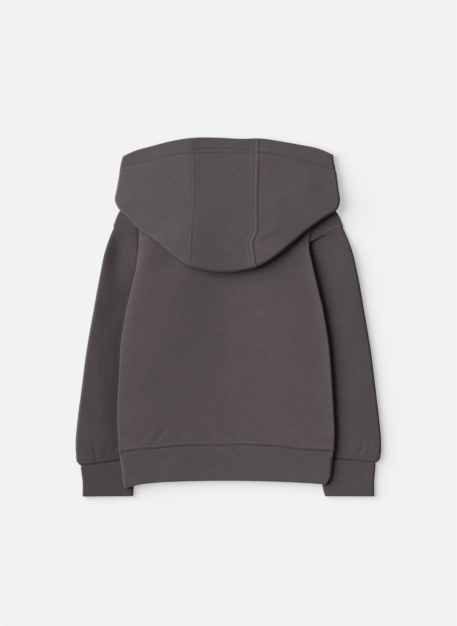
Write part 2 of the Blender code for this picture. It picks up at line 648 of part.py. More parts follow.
def hood_centre():
    """The centre panel, from the back neckline under the hood, round the fold and up to the rim."""
    fold_ends = [curve_stops(HOOD_FOLD)[k] for k in HOOD_FOLD_SEAMS]
    rim_ends = [curve_stops(HOOD_RIM)[k] for k in HOOD_RIM_SEAMS]
    neck_ends = (HOOD_PATH[0].x + SEAM, -HOOD_PATH[0].x - SEAM)
    columns = []
    for w in np.linspace(0, 1, HOOD_CENTRE_COLUMNS):
        fold, outward = fold_at(blend(*fold_ends, w))
        rim = through(HOOD_RIM, blend(*rim_ends, w))[0]
        centre = fold - outward * (CLOTH / 2 + HOOD_FOLD_RADIUS)
        neck_x = blend(*neck_ends, w)
        neck = np.array([neck_x, float(shoulder_y(neck_x)) + 1.0])
        upper = []
        for y in [blend(centre[1], SEAM_START, 0.5), *blend(SEAM_START, rim[1], hood_shares())]:
            upper.append((blend(*hood_seam(y), w), y))
        way = [blend(neck, centre, stop) for stop in PATH_STOPS[:-1]] + [fold]
        columns.append(hood_path(way, 1.0, outward, upper, HOOD_CENTRE_LOWER_ROWS))
    return cloth_object("hood_centre", np.array(columns), CLOTH, FLEECE_COLOUR)


def main():
    for obj in list(bpy.data.objects):
        bpy.data.objects.remove(obj, do_unlink=True)
    body_panel("front_panel", FRONT_NECK, CLOTH / 2, 1)
    body_panel("back_panel", BACK_NECK, CLOTH / 2 + LAYER_STEP, -1)
    waistband()
    for side, word in ((LEFT, "left"), (RIGHT, "right")):
        sleeve(side, "sleeve_" + word)
        cuff(side, "cuff_" + word)
        hood_side(side, "hood_" + word)
    hood_centre()


main()
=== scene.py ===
"""Toddler hoodie laid flat with its back up: fleece panels, doubled rib at cuffs and waistband, the
hood's hem, seams with their topstitching, creases and knit finish.

Tables and sizes are in millimetres, with X to the right, Y to the head end and Z up. A cloth piece is
a fine grid of points on the middle surface of its wall, which its seams, folds and creases raise or
lower along its own normal, and a Solidify modifier gives it its thickness.
"""

from collections import namedtuple

import bpy
import numpy as np
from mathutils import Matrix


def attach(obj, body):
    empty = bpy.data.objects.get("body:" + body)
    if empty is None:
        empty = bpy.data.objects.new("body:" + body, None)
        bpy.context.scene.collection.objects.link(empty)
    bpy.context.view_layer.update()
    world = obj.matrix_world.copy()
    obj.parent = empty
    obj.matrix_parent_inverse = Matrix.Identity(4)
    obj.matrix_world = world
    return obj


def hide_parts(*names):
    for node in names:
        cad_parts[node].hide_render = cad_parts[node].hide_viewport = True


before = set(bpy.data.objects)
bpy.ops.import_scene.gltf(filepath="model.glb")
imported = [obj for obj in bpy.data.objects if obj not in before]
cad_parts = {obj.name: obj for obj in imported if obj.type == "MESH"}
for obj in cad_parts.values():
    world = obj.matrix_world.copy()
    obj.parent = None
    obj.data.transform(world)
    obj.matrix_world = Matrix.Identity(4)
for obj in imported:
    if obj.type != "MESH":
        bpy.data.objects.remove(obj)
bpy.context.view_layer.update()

MM = 0.001

# Cloth
CLOTH = 1.8  # wall of the fleece
RIB = 2.4  # both layers of the doubled rib
RIB_LAYER = 1.15  # wall of one of them
SEAM = 0.3  # gap between the pieces along their seams
SEWN = 0.08  # the same along the armhole seams
LAYER_STEP = 2.8  # from the middle of the front panel's wall to the middle of the back panel's
BODY_HEIGHT = LAYER_STEP + CLOTH
SLEEVE_HEIGHT = 7.0
CUFF_HEIGHT = 5.4
BODY_CLEAR = 0.5  # between the body and the sleeves and cuffs under it
HOOD_FOLD_RADIUS = 2.6
HOOD_RISE = 2.2  # how much fuller the hood is at its lower edge than at its rim
HOOD_RISE_STARTS = (240.0, 110.0)  # along Y, between which it grows to that
HOOD_SETTLE = 66.0  # how far beyond the shoulders the hood is down on the surface
HOOD_CARRIED = (185.0, 98.0)  # where the hood leaves the shoulders and meets the highest part of the back
HOOD_SIDES_LESS = 0.6  # how much less the hood is held up at its sides than in its middle
HOOD_SIDES = (40.0, 158.0)  # distances from the middle between which it falls to that
MIDDLE = (-50.0, 50.0)  # along X, where heights from the left side give way to heights from the right
HOLLOW = -0.5  # how low the back panel lies between the hood's two sides
LEFT, RIGHT = -1, 1

# Fineness of the grids
TINY = 1e-9
SPACING_SAMPLES = 900
FINE_FADES = 2.2  # times its reach, where a fine spacing has given way to the coarse one
UPWARD = 0.6  # least upward share of a normal that counts as the upper side
SHARP_EDGE = np.radians(55.0)
HEM_TURN_STEPS = 6
HOOD_FOLD_STEPS = 12
RING_STEPS = 9
RING_TURN = np.pi * np.arange(1, RING_STEPS) / RING_STEPS
EDGE_ARC = np.radians([4.0, 20.0, 38.0, 56.0, 74.0, 90.0])  # where the lines of a folded edge lie on its turn
SHOWN_COLUMNS, CORNER_COLUMNS, HIDDEN_COLUMNS = 24, 6, 26  # of a sleeve's upper side, along its armhole
SLEEVE_UNDER = 30  # columns of its under side
CUFF_COLUMNS = 40
BAND_COLUMNS = 130
SIDE_UNDER_POINTS, CENTRE_UNDER_POINTS = 26, 50  # of the hood's panels from the neck to the fold
NEAR_FOLD_ROWS = 7
# Length of each grid, its steps in the middle, at its start and at its end, and how far those two reach
SLEEVE_STEPS, CUFF_STEPS = (2.7, 1.1, 0.8, 12.0), (2.0, 0.8, 0.8, 6.0)  # their lengths are measured
BAND_STEPS = (50.0, 2.2, 0.8, 0.8, 7.0)
HOOD_ROW_STEPS = (200.0, 1.9, 1.0, 0.75, 24.0)
HOOD_SIDE_STEPS = (100.0, 1.9, 1.3, 0.6, 11.0)
HOOD_CENTRE_STEPS = (90.0, 1.9, 0.6, 0.6, 11.0)
# The same across the body, the number of its rows beside the armhole, and the same below them
BACK_STEPS = ((300.0, 2.3, 1.3, 1.3, 22.0), 25, (292.0, 2.3, 1.5, 0.75, 12.0))
FRONT_STEPS = ((300.0, 4.0, 2.0, 2.0, 16.0), 12, (292.0, 4.0, 3.0, 1.2, 8.0))


def table(kind, rows):
    """A table's rows as named tuples."""
    return [kind(*row) for row in rows]


# Plan of the pieces

Point = namedtuple("Point", "x y")
SHOULDER = {
    LEFT: table(Point, [(-160.4, 124.4), (-152.6, 147), (-112, 171), (-57, 191)]),
    RIGHT: table(Point, [(161.2, 123.6), (152, 146.5), (111, 170.5), (56, 191)]),
}
BACK_NECK = table(Point, [(-57, 191), (-38, 184), (0, 180.5), (38, 184), (56, 191)])
FRONT_NECK = table(Point, [
    (-57, 191), (-49, 165), (-29, 145), (0, 138), (29, 145), (49, 165), (56, 191),
])
ARMHOLE = {
    LEFT: table(Point, [(-160.4, 124.4), (-149, 120.8), (-138, 116.4), (-125.2, 110.8)]),
    RIGHT: table(Point, [(161.2, 123.6), (146, 118.4), (127, 110.8), (112.6, 103)]),
}
ARMHOLE_HIDDEN = {
    LEFT: table(Point, [(-125.7, 100), (-114, 93), (-49, 86)]),
    RIGHT: table(Point, [(114, 92.5), (103, 86.2), (50, 79)]),
}
ARMHOLE_CLEAR = 0.25  # between a sleeve and the corner of the body's edge
HIDDEN_CORNER_SHARE = 0.4  # of a sleeve's columns from there to its hidden line
SIDE_REACH = 0.4  # share of the body's width that its sides' curves bend
TOP_FADE = 5  # power by which the shoulders' and the neckline's curve dies away down the body
ARMHOLE_SHARE = 0.1  # of the body's side
EDGE_FADE = 0.1  # share of its width or height over which a cut edge goes over into a fold
SIDE_FADES = 0.6  # share of that at its sides

Edge = namedtuple("Edge", "y left right")
BODY_EDGE = table(Edge, [
    (104, -124.8, 112.2), (92, -125.4, 113.6), (80, -126.8, 116.6), (65, -129, 120.1), (50, -132.4, 123.8),
    (32, -136.8, 128.1), (15, -141.2, 132.4), (0, -144, 135.2), (-20, -147.5, 138.7), (-40, -150.2, 141.6),
    (-60, -151.6, 143.6), (-90, -152.9, 145.7), (-120, -154.7, 147.4), (-145, -154.9, 148.9),
    (-165, -154.2, 149.6),
])
Band = namedtuple("Band", "x seam hem")
BAND = table(Band, [
    (-152, -191.2, -244.4), (-127, -187, -236), (-99, -184.5, -232.5), (-73, -182.2, -231.2),
    (-9, -180.5, -230), (60, -181.7, -231), (102, -186.6, -232.7), (148, -189.1, -236),
])
BandEnd = namedtuple("BandEnd", "share left right")
BAND_END = table(BandEnd, [
    (0, -152.4, 147.9), (0.45, -149.3, 146), (0.8, -147, 143.8), (1, -145.1, 138.2),
])
BAND_TALL = 51.0  # mean height of the waistband
BAND_SEAM_CLEAR = 0.36  # from the body's lower edge to the middle of the waistband's first ring
BAND_SEAM_ENDS = -188.0  # where the body's folded edges meet the waistband, along Y

Section = namedtuple("Section", "out_x out_y in_x in_y height")
SLEEVE = table(Section, [
    (172.7, 93, 55, 66, 6), (180.6, 58, 64, 34, 6.4), (189.4, 9, 76, -12, SLEEVE_HEIGHT),
    (199, -47, 90, -64, SLEEVE_HEIGHT), (206.3, -103, 103, -114, SLEEVE_HEIGHT),
    (211.7, -145, 113, -150, SLEEVE_HEIGHT), (214, -175, 119, -173, SLEEVE_HEIGHT),
    (213.4, -193, 122, -186, 6.95),
])
SLEEVE_END = {
    LEFT: table(Section, [
        (211.6, -203.8, 126, -193.5, 6.6), (207.6, -207.7, 130, -198.2, 5.6),
        (206.6, -209, 130.5, -199.6, 5.2),
    ]),
    RIGHT: table(Section, [
        (211.8, -200.6, 126, -191.5, 6.6), (207.6, -203.9, 130, -196.1, 5.6),
        (206.6, -205.2, 130.5, -197.6, 5.2),
    ]),
}
# How much further out each sleeve's outer fold lies, by its place along Y
OUT_SHIFT = {
    LEFT: [(-193, -0.1), (-130, -0.7), (-90, -0.5), (55, -0.9), (93, -0.5)],
    RIGHT: [(-193, 0.5), (-130, 0.2), (-90, 0.9), (55, 1.4), (93, 0.9)],
}
CUFF_TAPER = 0.62  # share of a cuff's length by which its outer edge is in at the hem's place
CUFF_LEAN = {LEFT: 2, RIGHT: 4}  # how late the cuff's inner edge turns out
CUFF_HEM = {
    LEFT: Section(204, -252.2, 133.2, -251.9, CUFF_HEIGHT),
    RIGHT: Section(204.8, -252, 136, -252, CUFF_HEIGHT),
}
CUFF_TILT = {LEFT: (2.0, -0.2), RIGHT: (0.0, 0.0)}  # added height at its outer and its inner end

HOOD_FOLD = table(Point, [
    (-147.4, 224.4), (-150.8, 213), (-152.8, 199), (-156.2, 178), (-158.3, 161.5), (-154.6, 153),
    (-141, 139), (-124.5, 122), (-96, 103), (-74.4, 84.8), (-53, 71.2), (-31, 65.4), (-3, 62.8),
    (21.8, 65.2), (40.3, 70), (64.2, 83.4), (89.4, 103.7), (114.6, 124.5), (136.4, 139.8), (153.4, 151.4),
    (156.4, 160.8), (154.4, 178), (151.2, 201), (148.5, 214), (146.9, 226.5),
])
HOOD_FOLD_SEAMS = {LEFT: 10, RIGHT: 14}  # which of its points are on the seams
HOOD_RIM = table(Point, [
    (-147.4, 224.4), (-129, 232.2), (-109, 237.6), (-84, 244.2), (-49.3, 249.9), (-20, 250.3), (22, 248.5),
    (43, 249), (72.6, 245), (100.6, 240), (129.4, 233.8), (146.9, 226.5),
])
HOOD_RIM_SEAMS = {LEFT: 4, RIGHT: 7}  # the same
CORNER_TURN = 0.93  # share of the hood's fold, from its seam to its rim, past which it turns with the rim
RIM_WAY_SHARE = 0.08  # share of a side panel's rim that gives its way at the corner
RIM_INSET = 0.0085  # share of the way from the hood's seam to its rim in which the hem's bend lies
Seam = namedtuple("Seam", "y left right")
HOOD_SEAM = table(Seam, [
    (250.6, -49.3, 43), (200, -47.1, 42.6), (158, -47.1, 41), (128, -49.5, 41.5), (116, -50.3, 40.6),
    (106.5, -50.8, 35.9), (88, -51.7, 36.7), (72.5, -51.9, 39.1),
])
SEAM_LENGTH = HOOD_SEAM[0].y - HOOD_SEAM[-1].y
HOOD_SEAM_CLEAR = 0.04  # between the hood's panels
HIDDEN_SEAM_CLEAR = 0.15  # the same under the hood
NECK_SEAM_ABOVE = 1.0  # how far above the back's neckline the centre panel starts
SEAM_START = 84.0  # along Y, where the side panels' seams on the upper layer begin
HEM_LINE = table(Point, [
    (-150, 211.5), (-143.6, 213), (-96, 223.4), (-54.2, 231.4), (-8.6, 233.2), (40.8, 230.4), (82.4, 224.5),
    (120.6, 215), (145.3, 207.4), (151, 205.5),
])
HEM_LINE_SLANT = 0.97  # from a height above the slanting line to the distance from it
# How far the spread hood stands up, by its place along X
HOOD_DOME = [(-156, 0), (-140, 0.5), (-52, 2.6), (40, 2.5), (150, 1.3)]
# How much higher the hood lies than the back panel under it
Spare = namedtuple("Spare", "y left right")
HOOD_SPARE = table(Spare, [(75, 2.8, 1.6), (104, 2.5, 1.1), (128, 1.9, 0.6), (150, 1, 0.2), (180, 0, 0)])

# The hood's hidden layer, by the share of its rows: the neck edge, two points on the way to the fold, and
# how far the row lies over the back panel, 1 being all of it
Path = namedtuple("Path", "share x y near_x near_y far_x far_y over")
HOOD_PATH = table(Path, [
    (0.00, -44.3, 185.8, -46.4, 165, -50, 125, 1), (0.25, -48, 187.4, -55, 170, -68, 135, 1),
    (0.50, -52.5, 190.2, -67, 181, -95, 162, 1), (0.61, -55.8, 192, -70, 188, -100, 176, 1),
    (0.66, -58.6, 192.6, -70, 191.8, -99, 182, 0.9), (0.71, -60, 194.2, -69, 196, -96, 188.5, 0.5),
    (0.76, -59.4, 195.6, -66, 200, -92, 195, 0.15), (0.81, -57.6, 195.8, -61, 203.5, -87, 202, 0),
    (0.86, -55.2, 193.6, -54, 205, -80, 208.5, 0), (0.91, -49.4, 167.2, -45, 201, -72, 214, 0),
    (0.96, -28, 145.3, -30, 200, -64, 218.5, 0), (1.00, -0.4, 138.4, -15, 198, -56, 222, 0),
])
PATH_STOPS = (0.0, 0.2, 0.5, 1.0)  # shares of the hidden layer's way at its points from neck to fold
PATH_LEVEL, PATH_UP = 0.35, 0.95  # shares of it between which it comes up off the surface

# The sleeves' inner folds under the body, and how the body comes up on them
InnerFold = namedtuple("InnerFold", "y x")
INNER_FOLD = table(InnerFold, [
    (-250, 131), (-200, 127), (-186, 121), (-114, 102), (-12, 75), (66, 54), (90, 47),
])
BODY_SLOPE, SLOPE_SPARE = 52.0, 2.0  # how far inside a fold the slope starts, and how far short it ends
CORNER_EARLY, CORNER_RAMP = 1.5, 12.0  # the same along Y, from the armhole's corner down
INNER_START = 40.0  # how far in from the armhole's corner, and how much higher, the slope starts inside
SLEEVE_FILLS = (112.0, 32.0)  # along Y, where the sleeves fill from the body's height to their own
CUFF_STARTS = (-190.0, -204.0)  # where the front comes down from the sleeves' height to the cuffs'
BAND_SETTLES = (-165.0, -238.0)  # where the back does

# Fine form that the cloth takes from its sewing and from lying about
TURN_IN = 1.9  # from the middle of the hood's wall to the middle of its hem's inner layer
PRESSED = 0.7  # the same where the hem is pressed flat under the back's neckline
HOOD_HEM = 15.0  # depth of the hood's hem
EDGE_TURN = 0.9  # how far in the turn of the body's folded edges reaches, and less on the left below
LEFT_TURN_LESS = 0.85  # share of that by which it is less on the left below
LEFT_TURN_FADES = (-25.0, -75.0)  # along Y, where the left fold's turn falls to that
EDGE_DIP = 0.8  # how much lower the back panel lies at its left fold
SAG = 3.2  # how far the back panel sags where it is stretched from sleeve to sleeve
SAG_REACH = (1.25, 5.0)  # factor and margin from the sleeves' inner folds to where the sag ends
ARMHOLE_RIDGE = {LEFT: 1.0, RIGHT: 0.55}  # height of the body's edge beside each armhole seam
CREASE_BEND = 0.06  # how much a crease bends off a straight line
STITCH = 2.7  # length of a topstitch
STITCH_PITCH = 3.1  # from one stitch to the next
THREAD, THREAD_SIDES = 0.42, 6  # its thickness and its faces round
FIRST_STITCH = 0.6  # from the start of a row
LOWEST_STITCH = 0.5  # height above the surface under which a stitch is left out
STITCH_DIPS = 0.18  # how deep a stitch's two ends go in
STITCH_SHOULDERS = (0.22, 0.78)  # shares of its length between which it is full
STITCH_RISES = 0.06  # how high it lies there
# Each row on the hood: its panel, the distance from the panel's edge, and whether that is its last column
SEAM_STITCHING = (("left", 5.0, True), ("right", 5.9, True), ("centre", 5.9, True), ("centre", 6.0, False))
BAND_STITCHING, CUFF_STITCHING = 5.4, 5.7  # from the seams
# How far above the hem's line its rows of stitching run, and the furrows that they pull into the cloth
HemRows = namedtuple("HemRows", "rows depth width")
HEM_ROWS = {
    "left": HemRows((-3.2,), 0.6, 1.2),
    "centre": HemRows((-4.6, 1.0), 0.75, 1.0),
    "right": HemRows((-1.4,), 1.1, 1.2),
}

# Looks
JERSEY_WALE, RIB_WALE, COURSE = 1.05, 2.2, 0.8  # pitches of the knit
# The body's fleece colour, and copies of it for the sleeves and the hood's panels with painted shading: the
# sleeves' are darker by painted shade, the left one most, and the hood panels' are lighter by painted light.
FLEECE_COLOURS_WITH_PAINTED_SHADING = {
    "body_fleece": (0.0785, 0.0635, 0.068),
    "left_sleeve_fleece": (0.069, 0.0557, 0.0613),
    "right_sleeve_fleece": (0.0705, 0.0585, 0.0642),
    "left_hood_fleece": (0.083, 0.071, 0.0772),
    "centre_hood_fleece": (0.0797, 0.0655, 0.0705),
    "right_hood_fleece": (0.083, 0.068, 0.0725),
}
# The waistband's rib colour, and copies of it for the cuffs that are darker by painted shade, the left one
# most.
RIB_COLOURS_WITH_PAINTED_SHADE = {
    "left_cuff_knit": (0.0605, 0.0500, 0.0558),
    "right_cuff_knit": (0.0700, 0.0577, 0.0640),
    "rib_knit": (0.0745, 0.0622, 0.0690),
}
THREAD_COLOUR = (0.09, 0.073, 0.077)
NODE_SPACING = 220
FLOOR_SIZE, FLOOR_DROP = 8.0, 0.0002  # in metres
GLOW = 0.46
# The axis, the shift of the middle and the two distances from it, in metres, between which the table's
# glow fades out under the garment
COVERED = (("X", 0.0, 0.150, 0.126), ("Y", 0.0085, 0.2135, 0.190))
KEY_STRENGTH, FILL_STRENGTH = 5.9, 0.16
KEY_SPREAD = np.radians(60.0)
KEY_FROM = (np.radians(31.0), np.arctan2(0.34, -0.94))  # its elevation and its azimuth
LENS, SENSOR = 200.0, 36.0  # of the camera, in millimetres
VIEW_TALL = 0.8764  # what the view spans from top to bottom at the garment's middle height, in metres
VIEW_MIDDLE = (0.0005, 0.005)
GARMENT_MIDDLE_Z = 0.008


# Curves and shares


def ease(t):
    """0 to 1 with level ends."""
    t = np.clip(t, 0.0, 1.0)
    return t * t * (3.0 - 2.0 * t)


def ramp(value, start, end):
    """0 at start and 1 at end, with level ends."""
    return ease((value - start) / (end - start))


def blend(a, b, t):
    return a + (b - a) * t


def at_side(side, row):
    return row.left if side == LEFT else row.right


def bump(offset, middle, width):
    """A soft hump of height 1, width to the point where it has fallen to about a third."""
    return np.exp(-((offset - middle) / width) ** 2)


def unit(vectors):
    """The vectors at a length of 1."""
    length = np.linalg.norm(vectors, axis=-1, keepdims=True)
    return vectors / np.maximum(length, TINY)


def through(points, shares, stops=None):
    """Points at the given shares of a smooth curve through a table's points. Shares run by chord
    length, or pass each table point at the share that stops gives it."""
    points = np.array(points, float)
    if stops is None:
        stops = curve_stops(points)
    stops = np.array(stops, float)
    shares = np.clip(np.atleast_1d(np.array(shares, float)), 0.0, 1.0)
    if len(points) == 2:
        return points[0] + np.outer(shares, points[1] - points[0])
    slopes = np.gradient(points, stops, axis=0, edge_order=2)
    index = np.clip(np.searchsorted(stops, shares, side="right") - 1, 0, len(stops) - 2)
    span = (stops[index + 1] - stops[index])[:, None]
    t = (shares[:, None] - stops[index][:, None]) / span
    start, end = points[index], points[index + 1]
    leave, arrive = slopes[index] * span, slopes[index + 1] * span
    return ((2 * t**3 - 3 * t**2 + 1) * start + (t**3 - 2 * t**2 + t) * leave
            + (3 * t**2 - 2 * t**3) * end + (t**3 - t**2) * arrive)


def curve_stops(points):
    """Shares of a curve's chord length at its table points."""
    chords = steps_of(np.array(points, float)[:, :2])
    return running(chords) / chords.sum()


def steps_of(points, axis=0):
    """The distances between neighbouring points along an axis."""
    return np.linalg.norm(np.diff(points, axis=axis), axis=-1)


def running(steps, axis=0):
    """Steps added up from 0, which gives one value more than there are steps."""
    start = np.zeros_like(np.take(steps, [0], axis))
    return np.concatenate([start, np.cumsum(steps, axis=axis)], axis=axis)


def column(rows, key, value, *names):
    """The named columns of a table, interpolated at values of its key column."""
    rows = sorted(rows, key=lambda row: getattr(row, key))
    at = [getattr(row, key) for row in rows]
    return [np.interp(value, at, [getattr(row, name) for row in rows]) for name in names]


def spaced(length, coarse, start, end, reach):
    """Shares from 0 to 1 along a length, with steps of coarse, and steps of start or end within reach
    of that end."""
    at = np.linspace(0.0, length, SPACING_SAMPLES)
    step = np.full_like(at, coarse)
    for fine, away in ((start, at), (end, length - at)):
        step = np.minimum(step, blend(fine, coarse, ramp(away, reach, FINE_FADES * reach)))
    rate = 1.0 / step
    steps = running((rate[1:] + rate[:-1]) / 2 * np.diff(at))
    return np.interp(np.linspace(0.0, steps[-1], int(round(steps[-1])) + 1), steps, at / length)


def waver(x, y, seed, size):
    """An uneven swell between about -1 and 1, with humps about size across: five waves of unlike
    directions and lengths, which the seed turns and shifts."""
    total = 0.0
    for k in range(5):
        angle, phase = 2.4 * (k + seed), 1.7 * seed + 2.9 * k
        wave = 2 * np.pi / (size * (0.8 + 0.27 * k))
        total = total + np.sin((x * np.cos(angle) + y * np.sin(angle)) * wave + phase)
    return total / 2.6


# Heights of the layers


def lift(x, y, settles=CUFF_STARTS):
    """How far the front panel's underside lies above the surface: up on the sleeves and cuffs."""
    on_left = np.asarray(x) < 0
    corner_x = np.where(on_left, -ARMHOLE[LEFT][-1].x, ARMHOLE[RIGHT][-1].x)
    corner_y = np.where(on_left, ARMHOLE[LEFT][-1].y, ARMHOLE[RIGHT][-1].y)
    (fold_x,) = column(INNER_FOLD, "y", y, "x")
    beside = ease((np.abs(x) - fold_x + BODY_SLOPE) / (BODY_SLOPE - SLOPE_SPARE))
    start = corner_y + CORNER_EARLY + INNER_START * ease((corner_x - np.abs(x)) / INNER_START)
    full = corner_y - CORNER_RAMP
    height = blend(BODY_HEIGHT, SLEEVE_HEIGHT, ramp(y, *SLEEVE_FILLS))
    height = blend(height, CUFF_HEIGHT, ramp(y, *settles)) + BODY_CLEAR
    return beside * ramp(y, start, full) * height


def back_lift(x, y):
    """How far the back panel is held up above its height over bare surface: it is stretched from sleeve
    to sleeve and sags only softly between them."""
    (fold_x,) = column(INNER_FOLD, "y", y, "x")
    at_left, at_right = (lift(beside, y, BAND_SETTLES) for beside in (-fold_x - 1.0, fold_x + 1.0))
    held = blend(at_left, at_right, ramp(x, *MIDDLE))
    reach = fold_x * SAG_REACH[0] + SAG_REACH[1]
    sag = SAG * (1.0 + np.cos(np.pi * np.clip(np.abs(x) / reach, 0.0, 1.0))) / 2
    kept = 1.0 - sag / (SLEEVE_HEIGHT + BODY_CLEAR)
    return np.where(np.abs(x) < fold_x, held * kept, lift(x, y, BAND_SETTLES) * kept)


def shoulder_y(x):
    """Where the back's shoulders and neckline lie along Y, by the place along X."""
    edge = sorted(SHOULDER[LEFT] + BACK_NECK[1:-1] + SHOULDER[RIGHT])
    return np.interp(x, [p.x for p in edge], [p.y for p in edge])


def hood_support(x, y):
    """What the hood lies on: the back panel, then down to the surface beyond the shoulders."""
    past = np.clip((y - shoulder_y(x)) / HOOD_SETTLE, 0.0, 1.0)
    beyond = (past + ease(past)) / 2
    spare = blend(*column(HOOD_SPARE, "y", y, "left", "right"), ramp(x, *MIDDLE))
    rising = np.clip((y - HOOD_CARRIED[0]) / (HOOD_CARRIED[1] - HOOD_CARRIED[0]), 0.0, 1.0)
    carried = back_lift(x, HOOD_CARRIED[1] + 0.0 * y) * rising * hood_middle(x)
    return (BODY_HEIGHT + np.maximum(back_lift(x, y), carried) + spare) * (1.0 - beyond)


def hood_middle(x):
    """1 where the hood is held up most, and less towards its sides."""
    return 1.0 - HOOD_SIDES_LESS * ramp(np.abs(x), *HOOD_SIDES)


def hood_rise(x, y):
    """How much higher the hood's layers lie where its lower edge is full."""
    return HOOD_RISE * ramp(y, *HOOD_RISE_STARTS) * hood_middle(x)


def hood_upper_z(x, y):
    """Middle of the upper layer's wall."""
    return CLOTH / 2 + SEAM + hood_support(x, y) + hood_rise(x, y) + 2 * HOOD_FOLD_RADIUS


# Sheets: normals, relief and meshes


def normals_of(grid, closed=False):
    """Unit normals of a grid, turned so that the grid's highest point faces up."""
    if closed:
        around = np.roll(grid, -1, axis=1) - np.roll(grid, 1, axis=1)
    else:
        around = np.gradient(grid, axis=1)
    normal = unit(np.cross(np.gradient(grid, axis=0), around))
    top = np.unravel_index(np.argmax(grid[..., 2]), grid.shape[:2])
    return normal if normal[top][2] > 0 else -normal


def distance_to(points, line):
    """The distance from each point to a polyline, and the place along it of the nearest point."""
    flat = points.reshape(-1, points.shape[-1])
    best, place = np.full(len(flat), np.inf), np.zeros(len(flat))
    run = 0.0
    for a, b in zip(line[:-1], line[1:]):
        span = b - a
        length = float(np.linalg.norm(span))
        if length < TINY:
            continue
        t = np.clip(((flat - a) @ span) / length**2, 0.0, 1.0)
        away = np.linalg.norm(flat - a - t[:, None] * span, axis=1)
        nearer = away < best
        best[nearer], place[nearer] = away[nearer], run + t[nearer] * length
        run += length
    return best.reshape(points.shape[:-1]), place.reshape(points.shape[:-1])


def along_line(values, run, at):
    """A line's point or normal at a distance along it. run is the distance of each of its points."""
    return np.array([np.interp(at, run, values[:, k]) for k in range(3)])


def line_at(grid, normals, away, from_end=False, by_rows=True):
    """Points and normals on the grid at a distance from its first or last row (or column)."""
    if not by_rows:
        grid, normals = grid.swapaxes(0, 1), normals.swapaxes(0, 1)
    if from_end:
        grid, normals = grid[::-1], normals[::-1]
    run = running(steps_of(grid))
    long_enough = [j for j in range(grid.shape[1]) if run[-1, j] > away]
    points, ways = (np.array([along_line(values[:, j], run[:, j], away) for j in long_enough])
                    for values in (grid, normals))
    return points, unit(ways)


def line_where(grid, normals, value):
    """Points and normals on the upward side of the grid where a value crosses 0 along its columns."""
    points, ways = [], []
    for j in range(grid.shape[1]):
        signs = np.sign(value[:, j])
        for i in np.nonzero((signs[:-1] * signs[1:] < 0) & (normals[:-1, j, 2] > UPWARD))[0]:
            t = value[i, j] / (value[i, j] - value[i + 1, j])
            points.append(blend(grid[i, j], grid[i + 1, j], t))
            ways.append(blend(normals[i, j], normals[i + 1, j], t))
    order = np.argsort([p[0] for p in points])
    return np.array(points)[order], unit(np.array(ways)[order])


def raised_by(relief, grid, normals, wall, tilt=0.0):
    """A grid with its relief along its normals and a tilt straight up, and its wall clear of the surface."""
    grid = grid + normals * relief[..., None]
    grid[..., 2] = np.maximum(grid[..., 2] + tilt, wall / 2)
    return grid


def facing_up(normals):
    """1 on the upper side of a tube, and 0 on its under side."""
    return ease(normals[..., 2] * 1.4)


def wrap(grid, closed):
    """The grid with its first column once more at the end if it is a tube."""
    return np.concatenate([grid, grid[:, :1]], axis=1) if closed else grid


def cells(values):
    """A grid's values at the four corners of each of its cells, in order round the cell."""
    return np.stack([values[:-1, :-1], values[1:, :-1], values[1:, 1:], values[:-1, 1:]], axis=2)


def mesh_piece(name, points, faces, material):
    """A smooth piece in the scene from points in millimetres."""
    data = bpy.data.meshes.new(name)
    data.from_pydata((np.array(points) * MM).tolist(), [], faces)
    data.shade_smooth()
    data.materials.append(material)
    obj = bpy.data.objects.new(name, data)
    bpy.context.scene.collection.objects.link(obj)
    return obj


def sheet_object(name, grid, wall, material, closed=False):
    """A grid of middle-surface points as a thickened sheet with a map of its cloth in millimetres."""
    points = grid.reshape(-1, 3)
    index = np.arange(len(points)).reshape(grid.shape[:2])
    quads = cells(wrap(index, closed)).reshape(-1, 4)
    whole = wrap(grid, closed)
    down = running(steps_of(whole).mean(axis=1))
    side = running(steps_of(whole, axis=1), axis=1)
    cloth_map = np.stack([side - side.mean(axis=1, keepdims=True),
                          np.broadcast_to(down[:, None], side.shape)], axis=-1)
    corners = cells(cloth_map).reshape(-1, 4, 2)
    first = points[quads[0]]
    face_way = np.cross(first[1] - first[0], first[3] - first[0])
    if np.dot(face_way, normals_of(grid, closed)[0, 0]) < 0:
        quads, corners = quads[:, ::-1], corners[:, ::-1]
    obj = mesh_piece(name, points, quads.tolist(), material)
    layer = obj.data.uv_layers.new(name="cloth")
    layer.data.foreach_set("uv", (corners * MM).astype(np.float32).ravel())
    thicken = obj.modifiers.new("wall", "SOLIDIFY")
    thicken.thickness = wall * MM
    thicken.offset = 0.0
    thicken.use_even_offset = False
    obj.select_set(True)
    bpy.context.view_layer.objects.active = obj
    bpy.ops.object.modifier_apply(modifier=thicken.name)
    obj.select_set(False)
    obj.data.set_sharp_from_angle(angle=SHARP_EDGE)
    return obj


def turned_in(grid, normals, count, spacing):
    """The grid with a hem: its last rows laid back count rows on its inner side. spacing is one value or
    one for each column."""
    spacing = np.broadcast_to(np.atleast_1d(spacing)[:, None], (grid.shape[1], 1))
    edge, inward = grid[-1], -normals[-1]
    out = unit(grid[-1] - grid[-2])
    angles = np.pi * np.arange(1, HEM_TURN_STEPS) / HEM_TURN_STEPS
    bend = [edge + out * spacing / 2 * np.sin(a) + inward * spacing / 2 * (1 - np.cos(a)) for a in angles]
    back = [grid[-1 - k] - normals[-1 - k] * spacing for k in range(count)]
    return np.concatenate([grid, bend, back])


def dress(obj, node):
    """Puts a finished sheet in its CAD node's place."""
    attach(obj, "root")
    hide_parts(node)


# Materials


def node_of(tree, kind, fed=None, **values):
    """A node with values on its inputs, and other nodes' outputs on those that fed names."""
    node = tree.nodes.new("ShaderNode" + kind)
    node.location = (-NODE_SPACING * (len(tree.nodes) - 2), 0)
    for name, value in values.items():
        node.inputs[name.replace("_", " ")].default_value = value
    for name, output in (fed or {}).items():
        tree.links.new(output, node.inputs[name])
    return node


